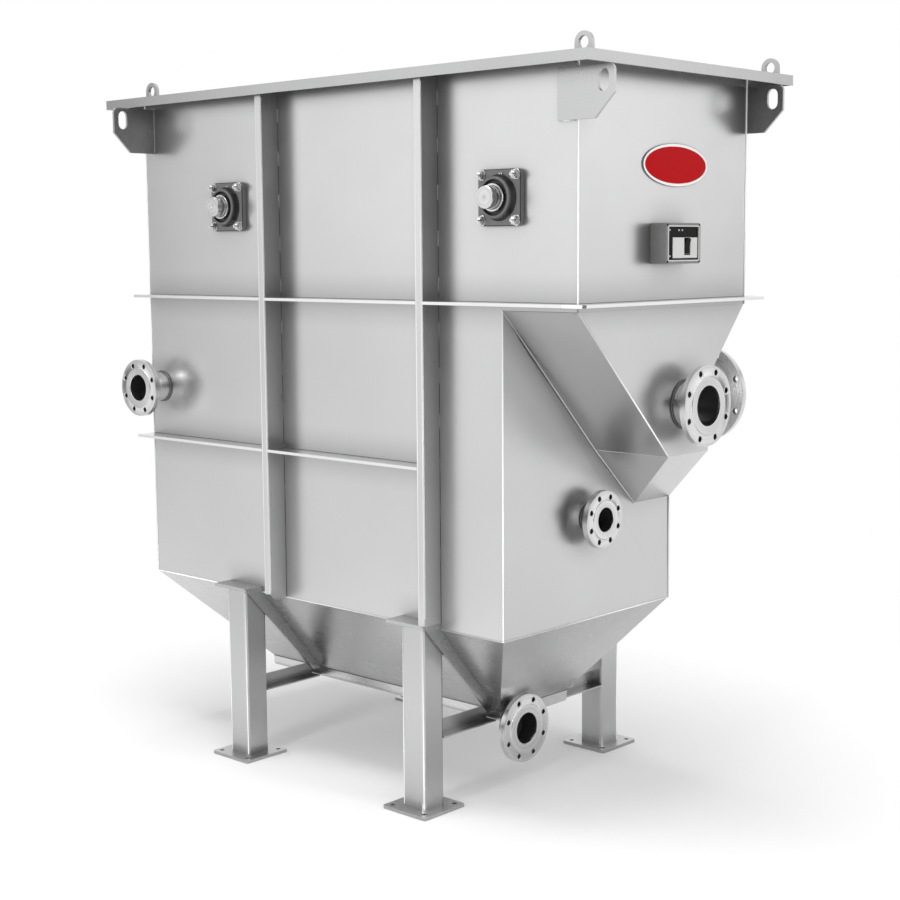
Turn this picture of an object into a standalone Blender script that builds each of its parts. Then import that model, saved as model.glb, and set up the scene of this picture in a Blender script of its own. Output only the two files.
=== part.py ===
# Oil separator: a welded stainless tank on four legs, with a chain-and-flight skimmer
# that pushes floating oil over a beach into the float hopper at the +X end.
# Metres, +Z up. The origin is on the floor, in the middle of the outline.

import math

import bmesh
import bpy
import numpy as np
from mathutils import Matrix, Vector

# Clearances
SEAT = 0.0003
RUNNING = 0.0004

# Sheet and bar stock
WALL = 0.006
FLAT_WIDTH = 0.080
FLAT_THICK = 0.010
CHANNEL_WIDTH = 0.030
CHANNEL_WALL = 0.004
TUBE_SIZE = 0.100
TUBE_WALL = 0.005
TUBE_CORNER = 0.010
ANGLE_SIZE = 0.050
ANGLE_WALL = 0.005

# Tank
TANK_WIDTH = 0.920
LOWER_LENGTH = 1.834
HOPPER_REACH = 0.305
STEP_HEIGHT = 1.078
TANK_HEIGHT = 1.850
RIB_OVER_STEP = 0.021
LOWER_RIB_HEIGHT = 0.552
RIB_CORNER_CUT = 0.020

# Rim of bent angle
RIM_SIDE = 0.105
RIM_LEFT = 0.105
RIM_RIGHT = 0.116
RIM_FACE = 0.034
RIM_WALL = 0.006

# Stiffeners on the long walls, at their +X faces
STIFFENER_LEFT = 0.775
STIFFENER_FOOT_CUT = 0.022

# Legs, at their +X faces
LEG_LEFT = 0.631
LEG_FROM_STEP = 0.287
LEG_HEIGHT = 0.625
LEG_ABOVE_EDGE = 0.010
FOOT_SIZE = 0.200
FOOT_THICK = 0.012
FOOT_CORNER = 0.008
FOOT_BOLT_PITCH = 0.150
FOOT_BOLT_HOLE = 0.009
CAP_THICK = 0.012
CAP_OVERHANG = 0.075

# Sludge hopper and trough
SLUDGE_DEPTH = 0.344
SLUDGE_FOOT_NEAR = 0.170
SLUDGE_FOOT_FAR = 0.205
SLUDGE_FOOT_LEFT = 0.360
SLUDGE_FOOT_FROM_STEP = 0.268
TROUGH_DEPTH = 0.040
TROUGH_CORNER = 0.014
SLOPE_RIB_FOOT = 0.045
SLOPE_RIB_TOP = 0.007
BEAM_DROP = 0.334

# Float hopper, measured on the end wall and on the lower box
FLOAT_KNEE_Y = 0.023
FLOAT_KNEE_DROP = 0.491
FLOAT_SIDE_Y = 0.252
FLOAT_SIDE_DROP = 0.240
FLOAT_TOE_Y = 0.249
FLOAT_TOE_DROP = 0.702

# Nozzles: outside diameter of flange, pipe, bore, raised face, bolt circle and hole
INLET = {"flange": 0.220, "pipe": 0.110, "bore": 0.101, "raised": 0.156, "pcd": 0.180, "hole": 0.018}
OUTLET = {"flange": 0.200, "pipe": 0.089, "bore": 0.083, "raised": 0.136, "pcd": 0.160, "hole": 0.018}
FLOAT = {"flange": 0.270, "pipe": 0.156, "bore": 0.134, "raised": 0.194, "pcd": 0.231, "hole": 0.020}
SLUDGE = {"flange": 0.244, "pipe": 0.120, "bore": 0.110, "raised": 0.172, "pcd": 0.204, "hole": 0.018}
REAR = {"flange": 0.340, "pipe": 0.219, "bore": 0.207, "raised": 0.266, "pcd": 0.295, "hole": 0.022}
FLANGE_THICK = 0.022
FLANGE_RAISE = 0.003
FLANGE_HUB = 0.016
FLANGE_BOLTS = 8
INLET_X = 0.060
INLET_Z = 0.745
INLET_OUT = 0.118
OUTLET_Y = -0.013
OUTLET_DROP = 0.722
OUTLET_OUT = 0.075
FLOAT_Y = 0.114
FLOAT_DROP = 0.323
FLOAT_OUT = 0.095
SLUDGE_Y = -0.110
SLUDGE_Z = -0.405
SLUDGE_OUT = 0.074
WINDOW_STEPS = 8
REAR_FROM_END = 0.189
REAR_OUT = 0.060

# Lifting eyes and brackets
EYE_WIDTH = 0.066
EYE_HEIGHT = 0.057
EYE_THICK = 0.012
EYE_HOLE = 0.019
EYE_FROM_WALL = 0.050
EYE_LEFT_X = 0.118
EYE_PAST_END = 0.061
EYE_ARC_STEPS = 10
BRACKET_THICK = 0.010
BRACKET_DROP = 0.038
BRACKET_REACH = 0.185
BRACKET_HEIGHT = 0.167
BRACKET_CUT = 0.072
BRACKET_CORNER = 0.018
BRACKET_X = 0.050
LUG_BACK = 0.073
LUG_FRONT = 0.141
LUG_HEIGHT = 0.156
SLOT_WIDTH = 0.040
SLOT_HEIGHT = 0.068
SLOT_EDGE = 0.020
SLOT_TOP = 0.012

# Skimmer: shafts, bearings, sprockets and chain
IDLER_X = 0.503
DRIVE_FROM_END = 0.3025
SHAFT_OVER_STEP = 0.354
SHAFT_RADIUS = 0.036
SHAFT_OUT = 0.088
SHAFT_DIMPLE = 0.008
SHAFT_DIMPLE_RADIUS = 0.006
SHAFT_NOSE = 0.003
JOURNAL_RADIUS = 0.022
WALL_HOLE = 0.046
CHAIN_PITCH = 0.0889
TEETH = 8
CHAIN_Y = 0.345
TOOTH_WIDTH = 0.020
TOOTH_TIP = 0.016
TOOTH_TIP_SHARE = 0.16
TOOTH_SEAT_SWING = 60
ROLLER_RADIUS = 0.012
CHAIN_SIDE_GAP = 0.003
LINK_THICK = 0.006
LINK_EYE = 0.022
LINK_WAIST = 0.014
FLIGHT_PITCH = 4
FLIGHT_HEIGHT = 0.082
FLIGHT_THICK = 0.008
FLIGHT_FOOT = 0.050
FLIGHT_GAP = 0.012
FLIGHT_SINK = 0.003
BEARING_SIZE = 0.178
BEARING_CORNER = 0.022
BEARING_PLATE = 0.018
BEARING_HUB = 0.065
BEARING_DEPTH = 0.048
BEARING_MOUTH = 0.010
BEARING_CHAMFER = 0.008
BEARING_FLARE = 0.006
BEARING_BOLT_PITCH = 0.142
NUT_RADIUS = 0.015
NUT_HEIGHT = 0.013
NUT_SINK = 0.004
STUD_RADIUS = 0.008
STUD_OUT = 0.012

# Gear motor on the far end of the drive shaft
GEARBOX_SIZE = 0.130
GEARBOX_DEPTH = 0.120
GEARBOX_GAP = 0.013
GEARBOX_CORNER = 0.025
MOTOR_RADIUS = 0.058
MOTOR_LENGTH = 0.220
MOTOR_CHAMFER = 0.012

# Inside the tank
CREST_GAP = 0.005
BEACH_RUN = 0.270
BEACH_FALL = 0.075
SKIRT_BOTTOM = 0.240
BAFFLE_X = 0.230
BAFFLE_BOTTOM = 0.300
BAFFLE_TOP = 1.190
BAFFLE_RETURN = 0.040

# Control box and badge on the end wall, at shares of the upper wall's height
BOX_Y = -0.091
BOX_WIDTH = 0.190
BOX_SHARE = 0.2694
BOX_HEIGHT = 0.130
BOX_DEPTH = 0.063
BOX_CORNER = 0.010
BOX_PANEL_EDGE = 0.012
BOX_PANEL_DEPTH = 0.004
ROCKER_Y = 0.028
ROCKER_UP = 0.057
ROCKER_WIDTH = 0.026
ROCKER_HEIGHT = 0.046
ROCKER_DEPTH = 0.012
ROCKER_GAP = 0.002
ROCKER_PIN = 0.003
ROCKER_PROUD = 0.0045
ROCKER_TILT = 9.0
ROCKER_TAPER = 0.7
BADGE_Y = 0.043
BADGE_SHARE = 0.5946
BADGE_WIDTH = 0.360
BADGE_HEIGHT = 0.138
BADGE_THICK = 0.005
BADGE_RIM = 0.008
BADGE_SINK = 0.0015
BADGE_CHAMFER = 0.001

# Facets
FLANGE_SIDES = 32
HOLE_SIDES = 8
SHAFT_SIDES = 20
BORE_SIDES = 16

# Worked-out places
UPPER_LENGTH = LOWER_LENGTH + HOPPER_REACH
LEFT = (RIM_LEFT - UPPER_LENGTH - LUG_FRONT) / 2
STEP_X = LEFT + LOWER_LENGTH
END_X = LEFT + UPPER_LENGTH
HALF = TANK_WIDTH / 2
EDGE_Z = FOOT_THICK + LEG_HEIGHT - LEG_ABOVE_EDGE
STEP_Z = EDGE_Z + STEP_HEIGHT
TOP_Z = EDGE_Z + TANK_HEIGHT
WALL_TOP = TOP_Z - RIM_WALL - SEAT
SLUDGE_BOTTOM = EDGE_Z - SLUDGE_DEPTH
TROUGH_BOTTOM = SLUDGE_BOTTOM - TROUGH_DEPTH
LEG_RIGHT = LOWER_LENGTH - LEG_FROM_STEP
SLUDGE_FOOT_RIGHT = LOWER_LENGTH - SLUDGE_FOOT_FROM_STEP
STIFFENER_RIGHT = LEG_RIGHT + FLAT_THICK
CAP_TOP = EDGE_Z + LEG_ABOVE_EDGE + SEAT + CAP_THICK
RIB_LEVELS = {"upper": STEP_Z + RIB_OVER_STEP, "lower": EDGE_Z + LOWER_RIB_HEIGHT}
INLET_LEVEL = EDGE_Z + INLET_Z
OUTLET_LEVEL = STEP_Z - OUTLET_DROP
FLOAT_LEVEL = STEP_Z - FLOAT_DROP
SLUDGE_LEVEL = EDGE_Z + SLUDGE_Z
REAR_X = END_X - REAR_FROM_END
BRACKET_TOP = TOP_Z - BRACKET_DROP
BOX_BOTTOM = STEP_Z + BOX_SHARE * (TOP_Z - STEP_Z) - BOX_HEIGHT / 2
BADGE_LEVEL = STEP_Z + BADGE_SHARE * (TOP_Z - STEP_Z)
ROCKER_LEVEL = BOX_BOTTOM + ROCKER_UP
SHAFT_LEVEL = STEP_Z + SHAFT_OVER_STEP
CHAIN_RUN = round((UPPER_LENGTH - IDLER_X - DRIVE_FROM_END) / CHAIN_PITCH)
DRIVE_X = IDLER_X + CHAIN_RUN * CHAIN_PITCH
PITCH_RADIUS = CHAIN_PITCH / (2 * math.sin(math.pi / TEETH))
HALF_LINK_TURN = math.pi / TEETH
FLIGHT_SWEEP = PITCH_RADIUS + LINK_WAIST - FLIGHT_SINK + FLIGHT_HEIGHT
CREST = SHAFT_LEVEL - FLIGHT_SWEEP - CREST_GAP
STEEL = ("stainless steel", (0.62, 0.62, 0.63), 0.32, 1.0)
TURNED = ("turned stainless steel", (0.70, 0.70, 0.71), 0.22, 1.0)
CAST = ("cast iron", (0.06, 0.06, 0.065), 0.55, 0.6)
PLASTIC = ("grey plastic", (0.55, 0.56, 0.57), 0.45, 0.0)
BLACK = ("black plastic", (0.02, 0.02, 0.02), 0.35, 0.0)
RED = ("red enamel", (0.65, 0.02, 0.03), 0.25, 0.0)


# Mesh helpers
def lift(point, axis, height):
    """Place a 2D point on the plane across the given axis."""
    a, b = point
    return [Vector((height, a, b)), Vector((a, height, b)), Vector((a, b, height))][axis]


def circle(centre, radius, sides, start=0.0):
    turn = 2 * math.pi / sides
    angles = [start + i * turn for i in range(sides)]
    return [(centre[0] + radius * math.cos(angle), centre[1] + radius * math.sin(angle)) for angle in angles]


def rectangle(low_a, low_b, high_a, high_b):
    return [(low_a, low_b), (high_a, low_b), (high_a, high_b), (low_a, high_b)]


def rounded(corners, steps=3):
    """Outline through (a, b, radius) corners, each with an arc of its radius."""
    outline = []
    for i, (a, b, radius) in enumerate(corners):
        here = Vector((a, b))
        if radius == 0:
            outline.append((a, b))
            continue
        before = (Vector(corners[i - 1][:2]) - here).normalized()
        after = (Vector(corners[(i + 1) % len(corners)][:2]) - here).normalized()
        half = before.angle(after) / 2
        centre = here + (before + after).normalized() * radius / math.sin(half)
        first = here + before * radius / math.tan(half) - centre
        sweep = first.angle_signed(here + after * radius / math.tan(half) - centre)
        for k in range(steps + 1):
            arm = Matrix.Rotation(-sweep * k / steps, 2) @ first
            outline.append((centre.x + arm.x, centre.y + arm.y))
    return outline


def plate(bm, outline, axis, low, high, holes=()):
    """Extrude an outline with holes along an axis."""
    edges = []
    for loop in (outline, *holes):
        verts = [bm.verts.new(lift(point, axis, low)) for point in loop]
        edges += [bm.edges.new((verts[i - 1], verts[i])) for i in range(len(verts))]
    filled = bmesh.ops.triangle_fill(bm, use_beauty=True, edges=edges)
    faces = [item for item in filled["geom"] if isinstance(item, bmesh.types.BMFace)]
    grown = bmesh.ops.extrude_face_region(bm, geom=faces, use_keep_orig=True)
    top = [item for item in grown["geom"] if isinstance(item, bmesh.types.BMVert)]
    bmesh.ops.translate(bm, verts=top, vec=lift((0, 0), axis, high - low))


def turned(bm, profile, sides, place=None):
    """Revolve a closed (radius, height) profile about +Z, then place it."""
    rings = []
    for radius, height in profile:
        if radius == 0:
            rings.append([bm.verts.new((0, 0, height))] * sides)
            continue
        rings.append([bm.verts.new((x, y, height)) for x, y in circle((0, 0), radius, sides)])
    for i, ring in enumerate(rings):
        last = rings[i - 1]
        for k in range(sides):
            corners = [last[k - 1], last[k], ring[k], ring[k - 1]]
            unique = list(dict.fromkeys(corners))
            if len(unique) > 2:
                bm.faces.new(unique)
    if place is not None:
        made = {vert for ring in rings for vert in ring}
        bmesh.ops.transform(bm, matrix=place, verts=list(made))


def facing(axis, origin):
    """Matrix that turns +Z to the given direction and moves it to a point."""
    turn = Vector((0, 0, 1)).rotation_difference(Vector(axis))
    return Matrix.Translation(origin) @ turn.to_matrix().to_4x4()


def bored(radius, sides):
    """Radius of a facetted bore that a shaft of this radius turns in."""
    return (radius + RUNNING) / math.cos(math.pi / sides)


def material(finish):
    name, colour, roughness, metallic = finish
    if name in bpy.data.materials:
        return bpy.data.materials[name]
    made = bpy.data.materials.new(name)
    made.use_nodes = True
    shader = made.node_tree.nodes["Principled BSDF"]
    shader.inputs["Base Color"].default_value = (*colour, 1.0)
    shader.inputs["Roughness"].default_value = roughness
    shader.inputs["Metallic"].default_value = metallic
    return made


def finish_object(name, bm, finish, smooth=False):
    bmesh.ops.recalc_face_normals(bm, faces=bm.faces)
    mesh = bpy.data.meshes.new(name)
    bm.to_mesh(mesh)
    bm.free()
    mesh.materials.append(material(finish))
    if smooth:
        mesh.shade_smooth()
        mesh.set_sharp_from_angle(angle=math.radians(35))
    made = bpy.data.objects.new(name, mesh)
    bpy.context.collection.objects.link(made)
    return made


def combine(target, tool_bm, operation, name):
    """Boolean a helper mesh into a target, and keep the helper out of the model."""
    tool = finish_object(name, tool_bm, STEEL)
    tool.hide_render = True
    tool.display_type = "WIRE"
    step = target.modifiers.new(name, "BOOLEAN")
    step.operation = operation
    step.object = tool
    return tool


def sheet_shell(bm, points, faces, inside, open_planes):
    """Folded sheet: outer faces through named points, and inner ones a wall behind them."""
    outer_planes = {key: [] for key in points}
    oriented = []
    for names in faces:
        ring = [points[key] for key in names]
        normal = sum((ring[i - 1].cross(ring[i]) for i in range(len(ring))), Vector()).normalized()
        if normal.dot(ring[0] - inside) < 0:
            normal.negate()
            names = names[::-1]
        oriented.append(names)
        for key in names:
            outer_planes[key].append(normal)
    outer, inner = {}, {}
    for key, point in points.items():
        rows = [(normal, -WALL) for normal in outer_planes[key]]
        rows += [(normal, 0.0) for on_plane, normal in open_planes
                 if abs((point - on_plane).dot(normal)) < SEAT / 10]
        normals = np.array([row[0] for row in rows])
        distances = np.array([row[1] for row in rows])
        shift = np.linalg.lstsq(normals, distances, rcond=None)[0]
        outer[key] = bm.verts.new(point)
        inner[key] = bm.verts.new(point + Vector(shift))
    used = {}
    for names in oriented:
        bm.faces.new([outer[key] for key in names])
        bm.faces.new([inner[key] for key in names[::-1]])
        for i, key in enumerate(names):
            used.setdefault(frozenset((names[i - 1], key)), []).append((names[i - 1], key))
    for sides in used.values():
        if len(sides) == 1:
            first, second = sides[0]
            bm.faces.new([outer[second], outer[first], inner[first], inner[second]])


# Tank, hoppers and trough
def make_tank():
    low, step, high = EDGE_Z, STEP_Z, WALL_TOP
    corners = {
        "a": (LEFT, low), "b": (STEP_X, low), "c": (STEP_X, step),
        "d": (END_X, step), "e": (END_X, high), "f": (LEFT, high)}
    points = {}
    for key, (x, z) in corners.items():
        points[key + "n"] = Vector((x, -HALF, z))
        points[key + "f"] = Vector((x, HALF, z))
    faces = [[key + side for key in "abcdef"] for side in "nf"]
    faces += [["an", "af", "ff", "fn"], ["bn", "bf", "cf", "cn"], ["dn", "df", "ef", "en"]]
    up = Vector((0, 0, 1))
    bm = bmesh.new()
    sheet_shell(bm, points, faces, Vector(((LEFT + STEP_X) / 2, 0, (low + step) / 2)),
                [(Vector((0, 0, z)), up) for z in (low, step, high)])
    tank = finish_object("tank_shell", bm, STEEL)
    cuts = bmesh.new()
    for x in (LEFT + IDLER_X, LEFT + DRIVE_X):
        for side in (-1, 1):
            hole = circle((x, SHAFT_LEVEL), WALL_HOLE, BORE_SIDES)
            plate(cuts, hole, 1, side * (HALF - 2 * WALL), side * (HALF + WALL))
    inlet = circle((LEFT + INLET_X, INLET_LEVEL), INLET["bore"] / 2, BORE_SIDES)
    plate(cuts, inlet, 1, -HALF - WALL, WALL * 2 - HALF)
    outlet = circle((OUTLET_Y, OUTLET_LEVEL), OUTLET["bore"] / 2, BORE_SIDES)
    plate(cuts, outlet, 0, STEP_X - 2 * WALL, STEP_X + WALL)
    combine(tank, cuts, "DIFFERENCE", "tank_holes")


def make_sludge_hopper():
    top, bottom = EDGE_Z - SEAT, SLUDGE_BOTTOM
    left, right = LEFT + SLUDGE_FOOT_LEFT, LEFT + SLUDGE_FOOT_RIGHT
    points = {
        "NL": Vector((LEFT, -HALF, top)), "NR": Vector((STEP_X, -HALF, top)),
        "FR": Vector((STEP_X, HALF, top)), "FL": Vector((LEFT, HALF, top)),
        "nl": Vector((left, -SLUDGE_FOOT_NEAR, bottom)), "nr": Vector((right, -SLUDGE_FOOT_NEAR, bottom)),
        "fr": Vector((right, SLUDGE_FOOT_FAR, bottom)), "fl": Vector((left, SLUDGE_FOOT_FAR, bottom))}
    order = ["NL", "NR", "FR", "FL"]
    faces = [[order[i - 1], order[i], order[i].lower(), order[i - 1].lower()] for i in range(4)]
    up = Vector((0, 0, 1))
    bm = bmesh.new()
    sheet_shell(bm, points, faces, Vector(((LEFT + STEP_X) / 2, 0, EDGE_Z - SLUDGE_DEPTH / 2)),
                [(Vector((0, 0, top)), up), (Vector((0, 0, SLUDGE_BOTTOM)), up)])
    finish_object("sludge_hopper", bm, STEEL)


def outlet_window(bm):
    """The part of the sludge bore that opens above the trough's floor."""
    radius = SLUDGE["bore"] / 2
    floor = TROUGH_BOTTOM + WALL + SEAT
    start = math.asin((floor - SLUDGE_LEVEL) / radius)
    outline = []
    for k in range(WINDOW_STEPS + 1):
        angle = start + (math.pi - 2 * start) * k / WINDOW_STEPS
        outline.append((SLUDGE_Y + radius * math.cos(angle), SLUDGE_LEVEL + radius * math.sin(angle)))
    plate(bm, outline, 0, LEFT + SLUDGE_FOOT_RIGHT - 2 * WALL, LEFT + SLUDGE_FOOT_RIGHT + 2 * WALL)


def make_trough():
    top = SLUDGE_BOTTOM - SEAT
    bottom = TROUGH_BOTTOM
    outline = rounded([(-SLUDGE_FOOT_NEAR, top, 0), (-SLUDGE_FOOT_NEAR, bottom, TROUGH_CORNER),
                       (SLUDGE_FOOT_FAR, bottom, TROUGH_CORNER), (SLUDGE_FOOT_FAR, top, 0)])
    left, right = LEFT + SLUDGE_FOOT_LEFT, LEFT + SLUDGE_FOOT_RIGHT
    points = {}
    for i, (y, z) in enumerate(outline):
        points[f"l{i}"] = Vector((left, y, z))
        points[f"r{i}"] = Vector((right, y, z))
    count = len(outline)
    faces = [[f"l{i}", f"l{i + 1}", f"r{i + 1}", f"r{i}"] for i in range(count - 1)]
    faces += [[f"{side}{i}" for i in range(count)] for side in "lr"]
    bm = bmesh.new()
    middle = Vector(((left + right) / 2, 0, top))
    sheet_shell(bm, points, faces, middle, [(middle, Vector((0, 0, 1)))])
    trough = finish_object("sludge_trough", bm, STEEL)
    window = bmesh.new()
    outlet_window(window)
    combine(trough, window, "DIFFERENCE", "trough_window")


def make_float_hopper():
    top = STEP_Z - SEAT
    back = STEP_X + SEAT
    front = END_X
    points = {
        "A": Vector((front, -HALF, top)), "a": Vector((back, -HALF, top)),
        "B": Vector((front, HALF, top)), "b": Vector((back, HALF, top)),
        "D": Vector((front, FLOAT_KNEE_Y, STEP_Z - FLOAT_KNEE_DROP)),
        "d": Vector((back, FLOAT_KNEE_Y, STEP_Z - FLOAT_KNEE_DROP)),
        "E": Vector((front, FLOAT_SIDE_Y, STEP_Z - FLOAT_SIDE_DROP)),
        "F": Vector((front, FLOAT_SIDE_Y, STEP_Z - FLOAT_KNEE_DROP)),
        "p": Vector((back, FLOAT_TOE_Y, STEP_Z - FLOAT_TOE_DROP)),
        "q": Vector((back, HALF, STEP_Z - FLOAT_TOE_DROP))}
    faces = [["A", "D", "d", "a"], ["d", "D", "p"], ["D", "F", "q", "p"],
             ["b", "q", "F", "E"], ["b", "E", "B"], ["A", "B", "E", "F", "D"]]
    bm = bmesh.new()
    sheet_shell(bm, points, faces, Vector(((back + front) / 2, FLOAT_KNEE_Y, STEP_Z - FLOAT_SIDE_DROP)),
                [(Vector((0, 0, top)), Vector((0, 0, 1))), (Vector((back, 0, 0)), Vector((1, 0, 0)))])
    hopper = finish_object("float_hopper", bm, STEEL)
    cuts = bmesh.new()
    front_bore = circle((FLOAT_Y, FLOAT_LEVEL), FLOAT["bore"] / 2, SHAFT_SIDES)
    plate(cuts, front_bore, 0, END_X - 3 * WALL, END_X + WALL)
    side_bore = circle((REAR_X, FLOAT_LEVEL), REAR["bore"] / 2, SHAFT_SIDES)
    plate(cuts, side_bore, 1, FLOAT_SIDE_Y, HALF + WALL)
    combine(hopper, cuts, "DIFFERENCE", "float_hopper_holes")


def make_rim():
    """Angle bar round the top edge: a flat leg on the walls and a lip turned down outside."""
    bm = bmesh.new()
    levels = [(0, TOP_Z), (0, TOP_Z - RIM_FACE), (RIM_WALL, TOP_Z - RIM_FACE), (RIM_WALL, TOP_Z - RIM_WALL)]
    rings = []
    for inset, z in levels:
        rings.append((LEFT - RIM_LEFT + inset, -HALF - RIM_SIDE + inset,
                      END_X + RIM_RIGHT - inset, HALF + RIM_SIDE - inset, z))
    for z in (TOP_Z - RIM_WALL, TOP_Z):
        rings.append((LEFT + WALL, WALL - HALF, END_X - WALL, HALF - WALL, z))
    verts = [[bm.verts.new((*corner, z)) for corner in rectangle(a, b, c, d)] for a, b, c, d, z in rings]
    for i, ring in enumerate(verts):
        for k in range(4):
            bm.faces.new([verts[i - 1][k - 1], verts[i - 1][k], ring[k], ring[k - 1]])
    finish_object("top_rim", bm, STEEL)


# Stiffeners and ribs
def make_stiffeners():
    outer = HALF + FLAT_WIDTH
    inner = HALF + SEAT
    top = WALL_TOP
    posts = (("left", LEFT + STIFFENER_LEFT, EDGE_Z), ("right", LEFT + STIFFENER_RIGHT, CAP_TOP + SEAT))
    for side, label in ((-1, "near"), (1, "far")):
        for name, right, bottom in posts:
            left = right - CHANNEL_WIDTH
            inside = outer - CHANNEL_WALL
            channel = [(left, inner), (left, outer), (right, outer), (right, inner),
                       (right - CHANNEL_WALL, inner), (right - CHANNEL_WALL, inside),
                       (left + CHANNEL_WALL, inside), (left + CHANNEL_WALL, inner)]
            bm = bmesh.new()
            plate(bm, [(x, side * y) for x, y in channel], 2, bottom, top)
            post = finish_object(f"stiffener_{label}_{name}", bm, STEEL)
            if name == "left":
                foot = bmesh.new()
                cut = STIFFENER_FOOT_CUT
                corner = [(side * (outer + cut), bottom - cut), (side * (outer - 2 * cut), bottom - cut),
                          (side * (outer + cut), bottom + 2 * cut)]
                plate(foot, corner, 0, left - cut, right + cut)
                combine(post, foot, "DIFFERENCE", f"foot_cut_{label}")


def make_ribs():
    outer = HALF + FLAT_WIDTH
    inner = HALF + SEAT
    first, second = [(LEFT + right - CHANNEL_WIDTH - SEAT, LEFT + right + SEAT)
                     for right in (STIFFENER_LEFT, STIFFENER_RIGHT)]
    stretches = [("left", LEFT, first[0]), ("middle", first[1], second[0]), ("right", second[1], END_X)]
    for level, height in RIB_LEVELS.items():
        low = height - FLAT_THICK / 2
        for side, label in ((-1, "near"), (1, "far")):
            for name, start, end in stretches:
                if level == "lower" and name == "right":
                    continue
                bm = bmesh.new()
                strip = [(x, side * y) for x, y in rectangle(start, inner, end, outer)]
                plate(bm, strip, 2, low, low + FLAT_THICK)
                finish_object(f"{level}_rib_{label}_{name}", bm, STEEL)
    start = END_X + SEAT
    end = END_X + FLAT_WIDTH
    outline = [(start, -outer), (end - RIB_CORNER_CUT, -outer), (end, RIB_CORNER_CUT - outer),
               (end, HALF), (start, HALF)]
    low = RIB_LEVELS["upper"] - FLAT_THICK / 2
    bm = bmesh.new()
    plate(bm, outline, 2, low, low + FLAT_THICK)
    finish_object("upper_rib_end", bm, STEEL)


# Supports
def hopper_section(bm, low_x, high_x):
    """Cross-section of tank, hopper and trough with a seat's clearance, to cope bars against."""
    gap = 2 * SEAT
    above = STEP_Z
    outline = [(-HALF - gap, above), (-HALF - gap, EDGE_Z), (-SLUDGE_FOOT_NEAR - gap, SLUDGE_BOTTOM),
               (-SLUDGE_FOOT_NEAR - gap, TROUGH_BOTTOM - gap), (SLUDGE_FOOT_FAR + gap, TROUGH_BOTTOM - gap),
               (SLUDGE_FOOT_FAR + gap, SLUDGE_BOTTOM), (HALF + gap, EDGE_Z), (HALF + gap, above)]
    plate(bm, outline, 0, low_x, high_x)


def make_leg(name, side, right):
    left = right - TUBE_SIZE
    outer = HALF + FLAT_WIDTH
    inner = outer - TUBE_SIZE
    top = EDGE_Z + LEG_ABOVE_EDGE
    bm = bmesh.new()
    middle = Vector(((left + right) / 2, side * (outer + inner) / 2))
    half = FOOT_SIZE / 2
    reach = FOOT_BOLT_PITCH / 2
    square = rectangle(middle.x - half, middle.y - half, middle.x + half, middle.y + half)
    holes = [circle((middle.x + a * reach, middle.y + b * reach), FOOT_BOLT_HOLE, HOLE_SIDES)
             for a in (-1, 1) for b in (-1, 1)]
    plate(bm, rounded([(a, b, FOOT_CORNER) for a, b in square], 2), 2, 0.0, FOOT_THICK, holes)
    leg = finish_object(name, bm, STEEL)
    tube = bmesh.new()
    loops = []
    for inset in (0.0, TUBE_WALL):
        low_y, high_y = sorted((side * (inner + inset), side * (outer - inset)))
        square = rectangle(left + inset, low_y, right - inset, high_y)
        loops.append(rounded([(a, b, TUBE_CORNER - inset) for a, b in square], 2))
    plate(tube, loops[0], 2, FOOT_THICK / 2, top, [loops[1]])
    combine(leg, tube, "UNION", f"{name}_tube")
    cope = bmesh.new()
    hopper_section(cope, left - TUBE_WALL, right + TUBE_WALL)
    combine(leg, cope, "DIFFERENCE", f"{name}_cope")


def make_slope_rib(name, side, right):
    """Cap over the leg and the tapering rib down the hopper's slope, welded as one."""
    outer = HALF + FLAT_WIDTH
    foot = SLUDGE_FOOT_NEAR if side < 0 else SLUDGE_FOOT_FAR
    web = [(side * (outer + SLOPE_RIB_TOP), CAP_TOP), (side * (foot + SLOPE_RIB_FOOT), SLUDGE_BOTTOM),
           (side * foot, SLUDGE_BOTTOM), (side * HALF, EDGE_Z), (side * HALF, CAP_TOP)]
    bm = bmesh.new()
    plate(bm, web, 0, right + SEAT, right + FLAT_THICK)
    rib = finish_object(name, bm, STEEL)
    cap = bmesh.new()
    low_y, high_y = sorted((side * (HALF + SEAT), side * outer))
    plate(cap, rectangle(right - TUBE_SIZE - CAP_OVERHANG, low_y, right + FLAT_THICK / 2, high_y), 2,
          CAP_TOP - CAP_THICK, CAP_TOP)
    combine(rib, cap, "UNION", f"{name}_cap")
    cope = bmesh.new()
    hopper_section(cope, right - TUBE_SIZE - 2 * CAP_OVERHANG, right + 2 * FLAT_THICK)
    combine(rib, cope, "DIFFERENCE", f"{name}_cope")


def make_cross_beam(name, side, right):
    """Angle bar from the leg to the side of the trough."""
    leg_face = HALF + FLAT_WIDTH - TUBE_SIZE - SEAT
    foot = SLUDGE_FOOT_NEAR if side < 0 else SLUDGE_FOOT_FAR
    top = EDGE_Z - BEAM_DROP
    left = right - ANGLE_SIZE
    bottom = top - ANGLE_SIZE
    inside = left + ANGLE_WALL
    section = [(left, bottom), (right, bottom), (right, bottom + ANGLE_WALL), (inside, bottom + ANGLE_WALL),
               (inside, top), (left, top)]
    low_y, high_y = sorted((side * foot, side * leg_face))
    bm = bmesh.new()
    plate(bm, section, 1, low_y, high_y)
    beam = finish_object(name, bm, STEEL)
    cope = bmesh.new()
    hopper_section(cope, left - ANGLE_WALL, right + ANGLE_WALL)
    combine(beam, cope, "DIFFERENCE", f"{name}_cope")


def make_supports():
    for side, label in ((-1, "near"), (1, "far")):
        for name, right in (("left", LEFT + LEG_LEFT), ("right", LEFT + LEG_RIGHT)):
            make_leg(f"leg_{label}_{name}", side, right)
            make_slope_rib(f"slope_rib_{label}_{name}", side, right)
            make_cross_beam(f"cross_beam_{label}_{name}", side, right)


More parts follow.
